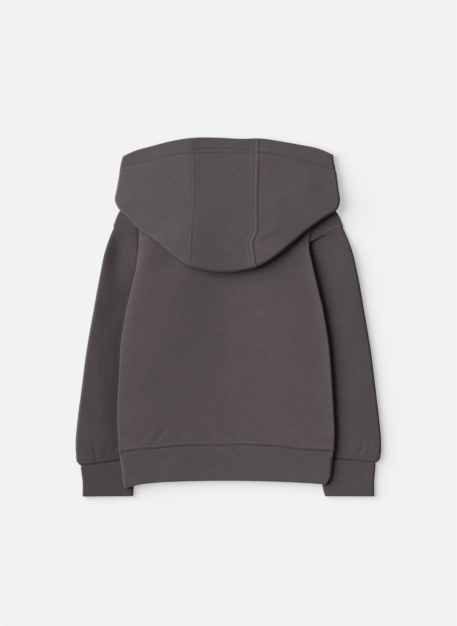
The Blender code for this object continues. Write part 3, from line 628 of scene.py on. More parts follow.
def new_material(name, **values):
    """A material with values on its shader's own sockets, and its node tree and that shader."""
    material = bpy.data.materials.new(name)
    material.use_nodes = True
    shader = material.node_tree.nodes["Principled BSDF"]
    for socket, value in values.items():
        shader.inputs[socket.replace("_", " ")].default_value = value
    return material, material.node_tree, shader


def maths(tree, operation, *terms):
    """One step of arithmetic on numbers and other nodes' outputs."""
    node = node_of(tree, "Math")
    node.operation = operation
    for socket, term in zip(node.inputs, terms):
        if isinstance(term, float):
            socket.default_value = term
        else:
            tree.links.new(term, socket)
    return node.outputs[0]


def fleece(name, colour, rib=False):
    """Brushed-back fleece with a fine jersey face, or smooth rib, as a material on the cloth's own map."""
    material, tree, shader = new_material(
        name, Roughness=0.93, Specular_IOR_Level=0.12, Sheen_Weight=0.05, Sheen_Roughness=0.55,
        Sheen_Tint=(0.9, 0.85, 0.87, 1.0))
    cloth_map = node_of(tree, "UVMap")
    cloth_map.uv_map = "cloth"
    on_cloth = cloth_map.outputs["UV"]
    on_piece = node_of(tree, "TexCoord").outputs["Object"]

    # Wales run along the piece and courses across it
    separate = node_of(tree, "SeparateXYZ", {"Vector": on_cloth})
    wales = sine(tree, separate.outputs["X"], RIB_WALE if rib else JERSEY_WALE)
    courses = sine(tree, separate.outputs["Y"], COURSE)

    # Uneven rows of stitches, longer across than along, over the brushed nap
    rows = noise(tree, on_cloth, (260.0, 900.0), 3.0, 0.6)
    streaks = noise(tree, on_cloth, (75.0, 640.0), 2.0, 0.5)
    nap = noise(tree, on_piece, 1400.0, 2.0, 0.7)
    patches = noise(tree, on_piece, 38.0, 4.0, 0.62)

    height = weigh(tree, (wales, 0.1 if rib else 0.2), (courses, 0.12), (rows, 0.9), (nap, 0.6))
    tone = weigh(tree, (rows, 0.4), (streaks, 0.3), (patches, 0.2), (nap, 0.2))
    emboss(tree, shader, height, 0.55, 0.00035)
    tint(tree, shader, tone, colour, (0.35, 0.74), (0.75, 1.26))
    material.diffuse_color = (*colour, 1.0)
    return material


def sine(tree, value, pitch):
    """Waves of a pitch in millimetres along one coordinate."""
    return maths(tree, "SINE", maths(tree, "MULTIPLY", value, 2 * np.pi / (pitch * MM)))


def weigh(tree, *parts):
    """The weighted sum of several values."""
    total = 0.0
    for value, weight in parts:
        total = maths(tree, "MULTIPLY_ADD", value, weight, total)
    return total


def noise(tree, vector, scale, detail, roughness):
    """Noise of one scale, or of one scale across the cloth and one along it."""
    if isinstance(scale, tuple):
        vector = node_of(tree, "Mapping", {"Vector": vector}, Scale=(*scale, 1.0)).outputs["Vector"]
        scale = 1.0
    texture = node_of(tree, "TexNoise", {"Vector": vector}, Scale=scale, Detail=detail, Roughness=roughness)
    return texture.outputs["Fac"]


def tint(tree, shader, tone, colour, *stops):
    """Gives the shader its colour, made darker or lighter by a tone. Each stop is a tone and a factor."""
    shades = node_of(tree, "ValToRGB", {"Fac": tone})
    for element, (position, factor) in zip(shades.color_ramp.elements, stops):
        element.position = position
        element.color = (*(c * factor for c in colour), 1.0)
    tree.links.new(shades.outputs["Color"], shader.inputs["Base Color"])


def emboss(tree, shader, height, strength, distance):
    bump_node = node_of(tree, "Bump", {"Height": height}, Strength=strength, Distance=distance)
    tree.links.new(bump_node.outputs["Normal"], shader.inputs["Normal"])


def thread_material(colour):
    """Twisted thread for the topstitching."""
    material, tree, shader = new_material("topstitch_thread", Roughness=0.6)
    twist = noise(tree, node_of(tree, "TexCoord").outputs["Object"], 2500.0, 1.0, 0.5)
    tint(tree, shader, twist, colour, (0.0, 0.8), (1.0, 1.2))
    emboss(tree, shader, twist, 0.5, 0.0001)
    return material


# Seams and creases

Crease = namedtuple("Crease", "x y angle length width depth")


def creased(x, y, creases):
    """Soft troughs (depth below 0) and ridges: each crosses its place at an angle."""
    total = np.zeros(np.shape(x))
    for c in creases:
        way = np.radians(c.angle)
        along = (x - c.x) * np.cos(way) + (y - c.y) * np.sin(way)
        off = -(x - c.x) * np.sin(way) + (y - c.y) * np.cos(way)
        bend = off - CREASE_BEND * along**2 / max(c.length, 1.0)
        total += c.depth * np.exp(-(bend / c.width) ** 2) * np.exp(-np.abs(2 * along / c.length) ** 3)
    return total


def furrow(off, at, width):
    """A narrow trough with sharp bottom, as stitching pulls into thick cloth."""
    return np.exp(-np.abs((off - at) / width) ** 1.4)


def pad(off, start, end):
    """1 from the seam to start, and 0 from end on, as a seam allowance lies under the cloth."""
    return 1.0 - ramp(off, start, end)


# Height beside each seam, as heights and forms, each at a distance from the seam and with a width. On the
# hood the panel that laps over has a lip.
SEAM_FORMS = {
    "front_at_waistband": [(0.4, bump, 0.0, 1.5)],
    "sleeve_at_armhole": [(-0.25, bump, 0.0, 1.2), (0.15, bump, 5.0, 2.2), (-0.15, bump, 8.0, 1.0)],
    "sleeve_at_cuff": [(0.4, bump, 3.6, 2.4), (-0.6, bump, 0.0, 1.3), (-0.35, bump, 5.8, 0.9)],
    "cuff_at_sleeve": [(0.08, bump, 3.6, 2.6), (-0.45, bump, 0.0, 1.2)],
    "cuff_hem": [(0.15, bump, 2.0, 3.0)],
    "waistband": [(-0.3, bump, 0.0, 0.9)],
    "hood_left": [(0.12, bump, 1.8, 1.6), (-0.08, bump, 4.2, 1.0), (0.08, pad, 6.0, 9.0)],
    "hood_centre_left": [(-0.05, bump, 0.6, 1.6)],
    "hood_centre_right": [(0.42, bump, 1.7, 2.0), (-0.3, furrow, 5.9, 0.9), (0.25, pad, 7.0, 10.5)],
    "hood_right": [(-0.22, bump, 0.2, 1.6), (-0.15, furrow, 4.4, 0.9), (0.1, pad, 5.0, 7.5)],
}


def beside_seam(seam, grid, line, uneven=0.0):
    """The form that a seam gives to a grid, by the distance from its line and a little uneven along it."""
    away, along = distance_to(grid, line)
    height = 0.0
    for tall, form, at, width in SEAM_FORMS[seam]:
        height = height + tall * form(away, at, width)
    return height * (1.0 + uneven * waver(along, 0.0, 8.0, 40.0))


# Body


def side_curve(side, shares):
    """The body's side boundary: the armhole seam, then the folded edge down to the waistband."""
    shares = np.atleast_1d(shares)
    fold = [Point(at_side(side, row), row.y) for row in BODY_EDGE]
    corner, end = ARMHOLE[side][-1], bottom_curve(0.0 if side == LEFT else 1.0)[0]
    fold = [corner] + [p for p in fold if p.y < corner.y - 1.0] + [Point(*end)]
    upper = through(ARMHOLE[side], shares / ARMHOLE_SHARE)
    lower = through(fold, (shares - ARMHOLE_SHARE) / (1 - ARMHOLE_SHARE))
    return np.where((shares < ARMHOLE_SHARE)[:, None], upper, lower)


def top_curve(neck, shares):
    """The body's upper boundary: shoulder, neckline, shoulder."""
    shares = np.atleast_1d(shares)
    stops = top_stops()
    first = through(SHOULDER[LEFT], shares / stops[0])
    middle = through(neck, (shares - stops[0]) / (stops[1] - stops[0]))
    last = through(SHOULDER[RIGHT][::-1], (shares - stops[1]) / (1 - stops[1]))
    at_left, at_right = (shares < stops[0])[:, None], (shares > stops[1])[:, None]
    return np.where(at_left, first, np.where(at_right, last, middle))


def top_stops():
    """Shares of the upper boundary at the two neck points, by width."""
    left, right = SHOULDER[LEFT][0].x, SHOULDER[RIGHT][0].x
    return (BACK_NECK[0].x - left) / (right - left), (BACK_NECK[-1].x - left) / (right - left)


def bottom_curve(shares):
    """The body's lower boundary, along the waistband's seam."""
    x = blend(BAND_END[0].left, BAND_END[0].right, np.atleast_1d(shares))
    return np.stack([x, band_y(x, 0.0)], axis=1)


def body_plan(neck, u, v):
    """Plan points at shares u across and v down, which are arrays of one shape."""
    shape = np.shape(u)
    u, v = np.ravel(u), np.ravel(v)
    tip_left, tip_right = np.array(SHOULDER[LEFT][0]), np.array(SHOULDER[RIGHT][0])
    down = v[:, None]
    straight_left = blend(tip_left, bottom_curve(0.0)[0], down)
    straight_right = blend(tip_right, bottom_curve(1.0)[0], down)
    near_left, near_right = (1 - ease(u / SIDE_REACH))[:, None], (1 - ease((1 - u) / SIDE_REACH))[:, None]
    tips = blend(tip_left, tip_right, u[:, None])
    plain = blend(tips, bottom_curve(u), down) + (top_curve(neck, u) - tips) * (1 - down) ** TOP_FADE
    plan = (plain + near_left * (side_curve(LEFT, v) - straight_left)
            + near_right * (side_curve(RIGHT, v) - straight_right))
    return plan.reshape(*shape, 2)


def grid_scale(neck, u, v):
    """Millimetres for a whole share across and a whole share down."""
    step = 0.002
    here = body_plan(neck, u, v)
    across = body_plan(neck, np.where(u < 0.5, u + step, u - step), v)
    down = body_plan(neck, u, np.where(v < 0.5, v + step, v - step))
    return np.linalg.norm(across - here, axis=-1) / step, np.linalg.norm(down - here, axis=-1) / step


def inside_edge(side, x, y):
    """How far a point lies inside the body's folded edge on one side."""
    fold = [(row.y, at_side(side, row)) for row in BODY_EDGE]
    fold += [(ARMHOLE[side][-1].y, ARMHOLE[side][-1].x), (BAND_SEAM_ENDS, at_side(side, BAND_END[0]))]
    fold.sort()
    return side * (np.interp(y, [p[0] for p in fold], [p[1] for p in fold]) - x)


Swell = namedtuple("Swell", "y left left_reach right lip lip_reach")
SWELL = table(Swell, [
    (128, 0, 12, 0, 0, 8), (104, 2.1, 9, 0.2, 2.4, 8), (86, 4.6, 6, 0.5, 3.4, 8),
    (64, 3.8, 5.5, 0.5, 3.4, 8), (20, 2.6, 6, 0.4, 3.2, 8), (-20, 2.3, 6, 0.3, 2.7, 8),
    (-60, 1.4, 7, 0.2, 2.6, 9), (-110, 0.6, 14, 0.1, 2.2, 12), (-160, 0.5, 16, 0, 1.8, 13),
    (-188, 0.3, 14, 0, 0.4, 14),
])


def back_swell(x, y):
    """How far the back panel stands up between its edges: it rises softly from the left fold, and turns
    up to a lip at the right one."""
    left, left_reach, right, lip, lip_reach = column(SWELL, "y", y, *Swell._fields[1:])
    from_left = np.maximum(inside_edge(LEFT, x, y), 0.0)
    from_right = np.maximum(inside_edge(RIGHT, x, y), 0.0)
    folded = ramp(y, 112.0, 96.0) * ramp(y, -189.0, -176.0)
    dip = EDGE_DIP * (1.0 - 0.7 * ramp(y, -25.0, -85.0))
    low = left * (1.0 - np.exp(-from_left / left_reach)) - dip * folded
    upper = ramp(y, 42.0, 82.0)
    falls = blend(ramp(x, -110.0, 40.0), ramp(x, -128.0, -66.0), upper)
    hollow = blend(right, HOLLOW, upper * (1.0 - ramp(x, -20.0, 50.0)))
    return blend(low, hollow, falls) + lip * np.exp(-from_right / lip_reach)


def body_panel(neck, base, turn, across, down):
    """Middle-surface grid of the front or the back panel. turn is -1 where its edges turn down."""
    count = len(EDGE_ARC)
    rough_u = np.concatenate([np.zeros(count), across, np.ones(count)])[None, :]
    rough_v = np.concatenate([np.zeros(count), down])[:, None]
    rough_u, rough_v = np.broadcast_arrays(rough_u, rough_v)
    width, length = grid_scale(neck, rough_u, rough_v)
    stops = top_stops()
    side_turned = ease((rough_v - ARMHOLE_SHARE) / (EDGE_FADE * SIDE_FADES))
    top_turned = ease(np.maximum(stops[0] - rough_u, rough_u - stops[1]) / EDGE_FADE)
    u, v = rough_u.copy(), rough_v.copy()
    drop = np.zeros(u.shape)
    there = body_plan(neck, rough_u, rough_v)
    for side, columns in ((LEFT, range(count)), (RIGHT, range(-1, -count - 1, -1))):
        for k, j in enumerate(columns):
            less = LEFT_TURN_LESS * (side == LEFT) * ramp(there[:, j, 1], *LEFT_TURN_FADES)
            tall = (LAYER_STEP + back_swell(there[:, j, 0], there[:, j, 1])) / 2
            inset = edge_inset(k, SEWN, EDGE_TURN * (1.0 - less), side_turned[:, j]) / width[:, j]
            u[:, j] = inset if side == LEFT else 1 - inset
            drop[:, j] = tall * (1 - np.sin(EDGE_ARC[k])) * side_turned[:, j]
    for k in range(count):
        v[k] = edge_inset(k, SEAM, EDGE_TURN, top_turned[k]) / length[k]
        drop[k] = np.maximum(drop[k], LAYER_STEP / 2 * (1 - np.sin(EDGE_ARC[k])) * top_turned[k])
    v[-1] = 1 - SEAM / 2 / length[-1]
    inner_left, inner_right = u[:, count - 1], u[:, -count]
    for j in range(len(across)):
        u[:, count + j] = blend(inner_left, inner_right, across[j])
    v[count:-1] = blend(v[count - 1], v[-1], v[count:-1])
    plan = body_plan(neck, u, v)
    x, y = plan[..., 0], plan[..., 1]
    if turn < 0:
        z = base + back_lift(x, y) + back_swell(x, y) - drop
    else:
        z = base + lift(x, y) + drop
    return np.concatenate([plan, z[..., None]], axis=-1)


def edge_inset(k, gap, turn_in, turned):
    """How far in the grid's edge line k lies: evenly spaced from a cut edge, and round a folded one."""
    cut_in = gap / 2 + (CLOTH / 2 + turn_in - gap / 2) * k / (len(EDGE_ARC) - 1)
    fold_in = CLOTH / 2 + turn_in * (1 - np.cos(EDGE_ARC[k]))
    return blend(cut_in, fold_in, turned)


def body_steps(across, armhole_rows, below):
    """Shares at which a body panel's columns and rows lie, from its steps across, its number of rows
    beside the armhole and its steps below that."""
    upper = np.linspace(0, ARMHOLE_SHARE, armhole_rows)[1:]
    lower = blend(ARMHOLE_SHARE, 1.0, spaced(*below))[1:]
    return spaced(*across)[1:-1], np.concatenate([upper, lower])


BACK_CREASES = table(Crease, [
    (-96, -167, 52, 26, 3.2, -0.45), (-104, -166, 60, 20, 2.8, 0.35), (-118, -168, 48, 24, 3, -0.35),
    (-70, -171, 66, 18, 2.8, -0.25), (-20, -170, 96, 20, 3.5, -0.22), (32, -171, 112, 18, 3.2, -0.22),
    (84, -172, 118, 22, 3.2, -0.25), (118, -168, 128, 26, 3.6, -0.3), (-60, 30, 20, 120, 14, 0.08),
    (70, -20, 164, 130, 15, 0.07), (-90, -60, 78, 120, 13, -0.07), (40, -110, 150, 110, 14, -0.06),
])


def back_relief(grid):
    """What the seams and creases add to the back panel along its normal."""
    x, y = grid[..., 0], grid[..., 1]
    raised = band_seam(*distance_to(grid[..., :2], grid[-1, :, :2]), x)
    raised += 0.09 * waver(x, y, 2.0, 62.0) + 0.035 * waver(x, y, 5.0, 24.0)
    raised += creased(x, y, BACK_CREASES)
    for side, tall in ARMHOLE_RIDGE.items():
        corner = ARMHOLE[side][-1]
        away, _ = distance_to(grid[..., :2], through(ARMHOLE[side], np.linspace(0, 1, 20)))
        beside = ramp(y, corner.y - 9.0, corner.y)
        ridge = tall * ramp(side * x, side * corner.x - 1.0, side * corner.x + 11.0)
        raised += beside * (ridge * bump(away, 3.8, 3.2) - 0.2 * bump(away, 0.0, 1.0))
    return raised


def band_seam(away, along, x):
    """The body above the waistband's seam: a ditch, a low roll and the topstitching's furrow."""
    right = ramp(x, 40.0, 80.0)
    uneven = 1.0 + 0.25 * waver(along, 0.0, 1.0, 40.0)
    roll = blend(0.45, 0.8, right) * bump(away, 3.4, 2.4) * uneven + 0.2 * (1.0 - ramp(away, 6.0, 10.0))
    return roll - 0.9 * bump(away, 0.0, 1.3) - 0.35 * bump(away, 5.6, 0.9) * (1.0 - 0.6 * right)


Step = namedtuple("Step", "x tall from_y to_y groove groove_at groove_width")
SHOULDER_STEP = {
    LEFT: Step(122.6, 0.9, 114, 128, 1.1, 3, 2.2),
    RIGHT: Step(113.6, 3.6, 103.5, 130, 0.7, -4.2, 1.3),
}


def shoulder_step(x, y):
    """Above the armhole seams the body's folded edges go on as a step down to the shoulder."""
    raised = 0.0
    for side, step in SHOULDER_STEP.items():
        beyond = side * x - step.x
        along = ramp(y, step.from_y - 12.0, step.from_y) * (1.0 - ramp(y, step.to_y, step.to_y + 26.0))
        raised = raised + along * (step.tall * (1.0 - ramp(beyond, -1.6, 1.8)) * ramp(beyond, -22.0, -2.0)
                                   - step.groove * bump(beyond, step.groove_at, step.groove_width))
    return raised


# Sleeves and cuffs


def flat_ring(line, height, wall, under_columns):
    """A flattened tube's ring of middle-surface points, clockwise from its outer fold over the top."""
    radius = (height - wall) / 2
    line = np.array(line, float)
    inset = wall / 2 + radius
    outward = {0: unit(line[0] - line[1]), -1: unit(line[-1] - line[-2])}
    length = np.linalg.norm(line[-1] - line[0])
    ends = {0: line[0] - outward[0] * inset, -1: line[-1] - outward[-1] * inset}
    shrink = 1 - 2 * inset / length
    middle = (ends[0] + ends[-1]) / 2
    plan = middle + (line - (line[0] + line[-1]) / 2) * shrink
    plan[0], plan[-1] = ends[0], ends[-1]
    under_shares = np.linspace(1, 0, under_columns)
    places = np.linspace(0, 1, len(plan))
    under = np.stack([np.interp(under_shares, places, plan[:, k]) for k in (0, 1)], axis=1)
    low = wall / 2
    ring = [(*p, height - low) for p in plan]
    for end, way, below in ((-1, 1, [(*p, low) for p in under]), (0, -1, [])):
        ring += [(*(ends[end] + outward[end] * radius * np.sin(a)), low + radius + way * radius * np.cos(a))
                 for a in RING_TURN]
        ring += below
    return ring


def armhole_line(side):
    """The sleeve's upper end in plan from its outer to its inner fold, and each point's share of the
    width. It keeps clear of the body's edge where that climbs over it."""
    seam, hidden = ARMHOLE[side], ARMHOLE_HIDDEN[side]
    clear = Point(seam[-1].x + side * ARMHOLE_CLEAR, seam[-1].y)
    shown = through(seam[:-1] + [clear], np.linspace(0, 1, SHOWN_COLUMNS + 1))
    corner_shares = np.linspace(0, 1, CORNER_COLUMNS + 1)[1:]
    corner = through([clear, hidden[0]], corner_shares)
    under = through(hidden[1:], np.linspace(0, 1, HIDDEN_COLUMNS))
    line = np.concatenate([shown, corner, under])
    shares = (line[:, 0] - line[0, 0]) / (line[-1, 0] - line[0, 0])
    at_clear, at_hidden = ((x - line[0, 0]) / (line[-1, 0] - line[0, 0]) for x in (clear.x, hidden[1].x))
    hidden_share = blend(at_clear, at_hidden, HIDDEN_CORNER_SHARE)
    after = SHOWN_COLUMNS + 1
    shares[after:after + CORNER_COLUMNS] = blend(at_clear, hidden_share, corner_shares)
    return line, shares


def sleeve_grid(side):
    """One sleeve's tube, rings from the armhole to the cuff's seam."""
    end_line, shares = armhole_line(side)
    lines, heights = [end_line], [BODY_HEIGHT]
    for row in SLEEVE + SLEEVE_END[side]:
        out_x = row.out_x + (np.interp(row.out_y, *zip(*OUT_SHIFT[side])) if row in SLEEVE else 0.0)
        outer, inner = np.array([side * out_x, row.out_y]), np.array([side * row.in_x, row.in_y])
        lines.append(outer + shares[:, None] * (inner - outer))
        heights.append(row.height)
    lines = np.array(lines)
    steps = steps_of(lines[:, 0])
    length = steps.sum()
    stops = running(steps) / length
    places = spaced(length, *SLEEVE_STEPS)
    places[0], places[-1] = SEWN / 2 / length, 1 - SEAM / 2 / length
    columns = np.stack([through(lines[:, k], places, stops) for k in range(len(shares))], axis=1)
    tall = through([(h, 0.0) for h in heights], places, stops)[:, 0]
    return np.array([flat_ring(line, height, CLOTH, SLEEVE_UNDER) for line, height in zip(columns, tall)])


SLEEVE_CREASES = {
    LEFT: table(Crease, [
        (-186, -190, 100, 26, 3, -0.5), (-171, -192, 82, 24, 3, -0.45), (-196, -188, 116, 20, 2.8, -0.35),
        (-160, -188, 70, 26, 3.4, -0.4), (-178, 40, 100, 90, 7, -0.35), (-180, -80, 96, 120, 9, 0.4),
    ]),
    RIGHT: table(Crease, [
        (186, -188, 60, 26, 3, -0.5), (198, -186, 74, 22, 2.8, -0.4), (170, -190, 96, 24, 3.2, -0.45),
        (174, -170, 60, 36, 5, -0.35), (160, -186, 110, 26, 3.2, -0.4), (178, 20, 80, 110, 8, 0.35),
    ]),
}
SLEEVE_UNDER_CREASES = table(Crease, [
    (150, -60, 104, 120, 9, 0.4), (130, 20, 70, 90, 8, -0.3), (168, -185, 88, 26, 3.4, -0.4),
])


def sleeve_relief(side, grid, normals):
    """What the seams, creases and folds add to a sleeve along its normal."""
    x, y = grid[..., 0], grid[..., 1]
    raised = beside_seam("sleeve_at_cuff", grid, grid[-1]) + beside_seam("sleeve_at_armhole", grid, grid[0])
    upper = 0.15 * waver(x, y, 7.0 + side, 46.0) + creased(x, y, SLEEVE_CREASES[side])
    under = creased(side * x, y, SLEEVE_UNDER_CREASES)
    return raised + facing_up(normals) * upper + facing_up(-normals) * under * 0.6


# The sleeves' height beside the body by the distance out from its edge, at the top, the middle and below
TILT = {
    LEFT: [
        [
            (-34, 0), (-12, -1.4), (0, -0.7), (4, -0.3), (12, -0.9), (24, -2.1), (29, -2), (33, -1.2),
            (41, 1), (47, 1.7), (53, 1.9), (70, 1.6),
        ],
        [
            (-34, 0), (-14, -2.8), (0, -2.9), (8, -2.1), (16, -1.1), (24, 0.4), (32, 2.3), (40, 3.4),
            (50, 3.7), (70, 3.2),
        ],
        [
            (-34, 0), (-14, -2.9), (0, -3), (4, -2.1), (10, -0.5), (20, 1.2), (30, 2.3), (40, 3), (50, 3.3),
            (70, 3.1),
        ],
    ],
    RIGHT: [
        [(-34, 0), (-12, -1.9), (4, -2), (14, -1.4), (28, 0), (46, 1.6), (56, 2), (70, 1.8)],
        [(-34, 0), (-12, -1.9), (4, -2), (14, -1.3), (28, -0.4), (46, 0), (70, 0)],
        [(-34, 0), (-12, -1.9), (4, -2), (14, -1.3), (28, -0.4), (46, 0), (70, 0)],
    ],
}


def sleeve_tilt(side, grid, normals):
    """How far the sleeve's upper layer stands up from one fold to the other."""
    x, y = grid[..., 0], grid[..., 1]
    out = -inside_edge(side, x, y)
    begins = ramp(y, 122.0, 98.0) * (1.0 - 0.3 * ramp(y, -176.0, -208.0))
    high, middle, low = (np.interp(out, *zip(*line)) for line in TILT[side])
    tilt = blend(blend(low, middle, ramp(y, -40.0, 20.0)), high, ramp(y, 20.0, 80.0))
    return facing_up(normals) * begins * tilt


def cuff_grid(side):
    """One cuff's tube, rings from the sleeve's seam to the folded hem."""
    seam, hem = SLEEVE_END[side][-1], CUFF_HEM[side]
    length = abs(hem.out_y - seam.out_y)
    rings = []
    edge = 1 - RIB / 2 / length
    for t in spaced(length, *CUFF_STEPS):
        t = blend(1.2 * SEAM / length, edge, t)
        out_x = blend(seam.out_x, hem.out_x, ease(t / CUFF_TAPER))
        in_x = blend(seam.in_x, hem.in_x, t**CUFF_LEAN[side])
        outer = np.array([side * out_x, blend(seam.out_y, hem.out_y, t)])
        inner = np.array([side * in_x, blend(seam.in_y, hem.in_y, t)])
        line = outer + np.linspace(0, 1, CUFF_COLUMNS)[:, None] * (inner - outer)
        rings.append(flat_ring(line, CUFF_HEIGHT, RIB, CUFF_COLUMNS - 2))
    return np.array(rings)


def cuff_relief(side, grid):
    """What the seam and the folded hem add to a cuff along its normal."""
    x, y = grid[..., 0], grid[..., 1]
    raised = beside_seam("cuff_at_sleeve", grid, grid[0]) + 0.08 * waver(x, y, 9.0 + side, 22.0)
    return raised + beside_seam("cuff_hem", grid, grid[-1])


# Waistband


def band_y(x, share):
    """Where the waistband lies between its seam (0) and its hem (1) at x."""
    width = BAND[-1].x - BAND[0].x
    stops = [(row.x - BAND[0].x) / width for row in BAND]
    lines = through([(row.seam, row.hem) for row in BAND], (x - BAND[0].x) / width, stops)
    return blend(lines[:, 0], lines[:, 1], share)


def waistband_grid():
    """The waistband's tube, rings from its seam to its folded hem."""
    low, radius = RIB / 2, LAYER_STEP / 2
    inset = RIB / 2 + radius
    rings = []
    for share in spaced(*BAND_STEPS):
        left, right = column(BAND_END, "share", share, "left", "right")
        place = blend(0.0, 1 - RIB / 2 / BAND_TALL, share)
        across = np.linspace(left + inset, right - inset, BAND_COLUMNS)
        plan_y = band_y(across, place) - BAND_SEAM_CLEAR * (1 - share)
        above = low + LAYER_STEP + back_lift(across, plan_y)
        below = low + lift(across, plan_y)
        ring = [*zip(across, plan_y, above)]
        for end, way, under in ((-1, 1, [*zip(across[::-1], plan_y[::-1], below[::-1])]), (0, -1, [])):
            middle = below[end] + radius
            ring += [(across[end] + way * radius * np.sin(a), plan_y[end], middle + way * radius * np.cos(a))
                     for a in RING_TURN]
            ring += under
        rings.append(ring)
    return np.array(rings, float)


def waistband_relief(grid):
    """What the seam and the knit's unevenness add to the waistband along its normal."""
    x, y = grid[..., 0], grid[..., 1]
    uneven = 0.08 * waver(x, y, 11.0, 30.0) + 0.03 * waver(x, 0.35 * y, 12.0, 15.0)
    return beside_seam("waistband", grid[..., :2], grid[0, :BAND_COLUMNS, :2]) + uneven


# Hood


def fold_at(share):
    """A point of the hood's fold and the way out from it, at a share of its whole length."""
    step = 0.004
    before, point, after = through(HOOD_FOLD, [share - step, share, share + step])
    along = unit(after - before)
    return point, np.array([along[1], -along[0]])


def hood_path(way, over, outward, end_points, lower_shares):
    """Middle-surface points along way over the lower layer, from the neck edge to the centre of the
    fold, then round the fold and through end_points, which are plan points of the upper layer."""
    centre = way[-1] - outward * (CLOTH / 2 + HOOD_FOLD_RADIUS)
    plan = through([*way[:-1], centre], lower_shares, PATH_STOPS)
    out = ramp(lower_shares, PATH_LEVEL * (1 - over), PATH_UP)
    bedding = (hood_support(plan[:, 0], plan[:, 1]) + SEAM) * blend(out, 1.0, over)
    lower = np.column_stack([plan, CLOTH / 2 + bedding + hood_rise(plan[:, 0], plan[:, 1]) * out])
    angles = np.pi * (np.arange(1, HOOD_FOLD_STEPS) / HOOD_FOLD_STEPS - 0.5)
    turned = centre + np.outer(HOOD_FOLD_RADIUS * np.cos(angles), outward)
    turned_z = float(hood_upper_z(*centre)) - HOOD_FOLD_RADIUS * (1 - np.sin(angles))
    upper = np.concatenate([[centre], end_points])
    upper = np.column_stack([upper, hood_upper_z(upper[:, 0], upper[:, 1])])
    return np.concatenate([lower, np.column_stack([turned, turned_z]), upper])


def hood_rows():
    """Places of the hood's rows from the low end of its seams to the rim."""
    return spaced(*HOOD_ROW_STEPS) * (1 - RIM_INSET)


def hood_side_grid(side):
    """One side panel: rows from the centre panel's seam under the hood to the rim, columns from the neck
    edge round the fold to the centre panel's seam."""
    corner = 0.0 if side == LEFT else 1.0
    rim_seam = HOOD_RIM[HOOD_RIM_SEAMS[side]]
    ends = (curve_stops(HOOD_FOLD)[HOOD_FOLD_SEAMS[side]], corner)
    rim_ends = (corner, curve_stops(HOOD_RIM)[HOOD_RIM_SEAMS[side]])
    mirror = np.array([-side, 1.0])
    across = spaced(*HOOD_SIDE_STEPS)[1:]
    lower_shares = np.linspace(0, 1, SIDE_UNDER_POINTS)
    rim = through(HOOD_RIM, blend(*rim_ends, across))
    rim_way = -unit(through(HOOD_RIM, blend(*rim_ends, RIM_WAY_SHARE)) - through(HOOD_RIM, corner))[0]
    chord = blend(np.array(HOOD_RIM[0 if side == LEFT else -1], float), np.array(rim_seam, float),
                  across[:, None])
    rows = []
    for u in hood_rows():
        path = Path(*[np.interp(u, [row.share for row in HOOD_PATH], values) for values in zip(*HOOD_PATH)])
        way = np.array([(path.x, path.y), (path.near_x, path.near_y), (path.far_x, path.far_y)]) * mirror
        fold, outward = fold_at(blend(*ends, u))
        if u == 0:
            fold = fold + np.array([side * HIDDEN_SEAM_CLEAR, 0.0])
        outward = unit(blend(outward, rim_way, ramp(u, CORNER_TURN, 1.0)))
        centre = fold - outward * (CLOTH / 2 + HOOD_FOLD_RADIUS)
        seam_y = blend(SEAM_START, rim_seam.y, u)
        seam_x = hood_seam(seam_y)[0, 0 if side == LEFT else 1] + side * HOOD_SEAM_CLEAR
        straight = blend(centre, np.array([seam_x, seam_y]), across[:, None])
        upper = straight + (rim - chord) * ease(2 * u - 1)
        rows.append(hood_path([*way, fold], path.over, outward, upper, lower_shares))
    return np.array(rows)


def hood_seam(y):
    """The left and the right end of the centre panel's width at y on the upper layer."""
    return through([(row.left, row.right) for row in HOOD_SEAM], (HOOD_SEAM[0].y - y) / SEAM_LENGTH,
                   [(HOOD_SEAM[0].y - row.y) / SEAM_LENGTH for row in HOOD_SEAM])


def hood_centre_grid():
    """The centre panel: rows from the back neckline under the hood, round the fold and up to the rim."""
    fold_ends = [curve_stops(HOOD_FOLD)[k] for k in HOOD_FOLD_SEAMS.values()]
    rim_ends = [curve_stops(HOOD_RIM)[k] for k in HOOD_RIM_SEAMS.values()]
    neck_ends = (HOOD_PATH[0].x + HIDDEN_SEAM_CLEAR, -HOOD_PATH[0].x - HIDDEN_SEAM_CLEAR)
    lower_shares = np.linspace(0, 1, CENTRE_UNDER_POINTS)
    up_shares = hood_rows()
    columns = []
    for w in spaced(*HOOD_CENTRE_STEPS):
        fold, outward = fold_at(blend(*fold_ends, w))
        rim = through(HOOD_RIM, blend(*rim_ends, w))[0]
        centre = fold - outward * (CLOTH / 2 + HOOD_FOLD_RADIUS)
        neck_x = blend(*neck_ends, w)
        neck = np.array([neck_x, float(shoulder_y(neck_x)) + NECK_SEAM_ABOVE])
        near_fold = blend(centre[1], SEAM_START, np.linspace(0, 1, NEAR_FOLD_ROWS + 2)[1:-1])
        ups = np.concatenate([near_fold, blend(SEAM_START, rim[1], up_shares)])
        across = hood_seam(ups)
        upper = np.column_stack([blend(across[:, 0], across[:, 1], w), ups])
        way = [blend(neck, centre, stop) for stop in PATH_STOPS[:-1]] + [fold]
        columns.append(hood_path(way, 1.0, outward, upper, lower_shares))
    return np.array(columns).swapaxes(0, 1)


HOOD_CREASES = table(Crease, [
    (53, 115.5, 24, 38, 4.5, 0.4), (53, 106.5, 24, 40, 4.5, -0.45), (-110, 190, 30, 90, 12, 0.15),
    (-90, 130, 60, 70, 12, -0.12), (100, 175, 20, 90, 9, 0.2), (90, 140, 115, 60, 11, -0.12),
    (-5, 150, 84, 120, 13, 0.1),
])


def hem_offset(x, y):
    """How far a point of the hood lies above the line of its hem, square to that line."""
    line = through(HEM_LINE, np.linspace(0, 1, 60))
    return (y - np.interp(x, line[:, 0], line[:, 1])) * HEM_LINE_SLANT


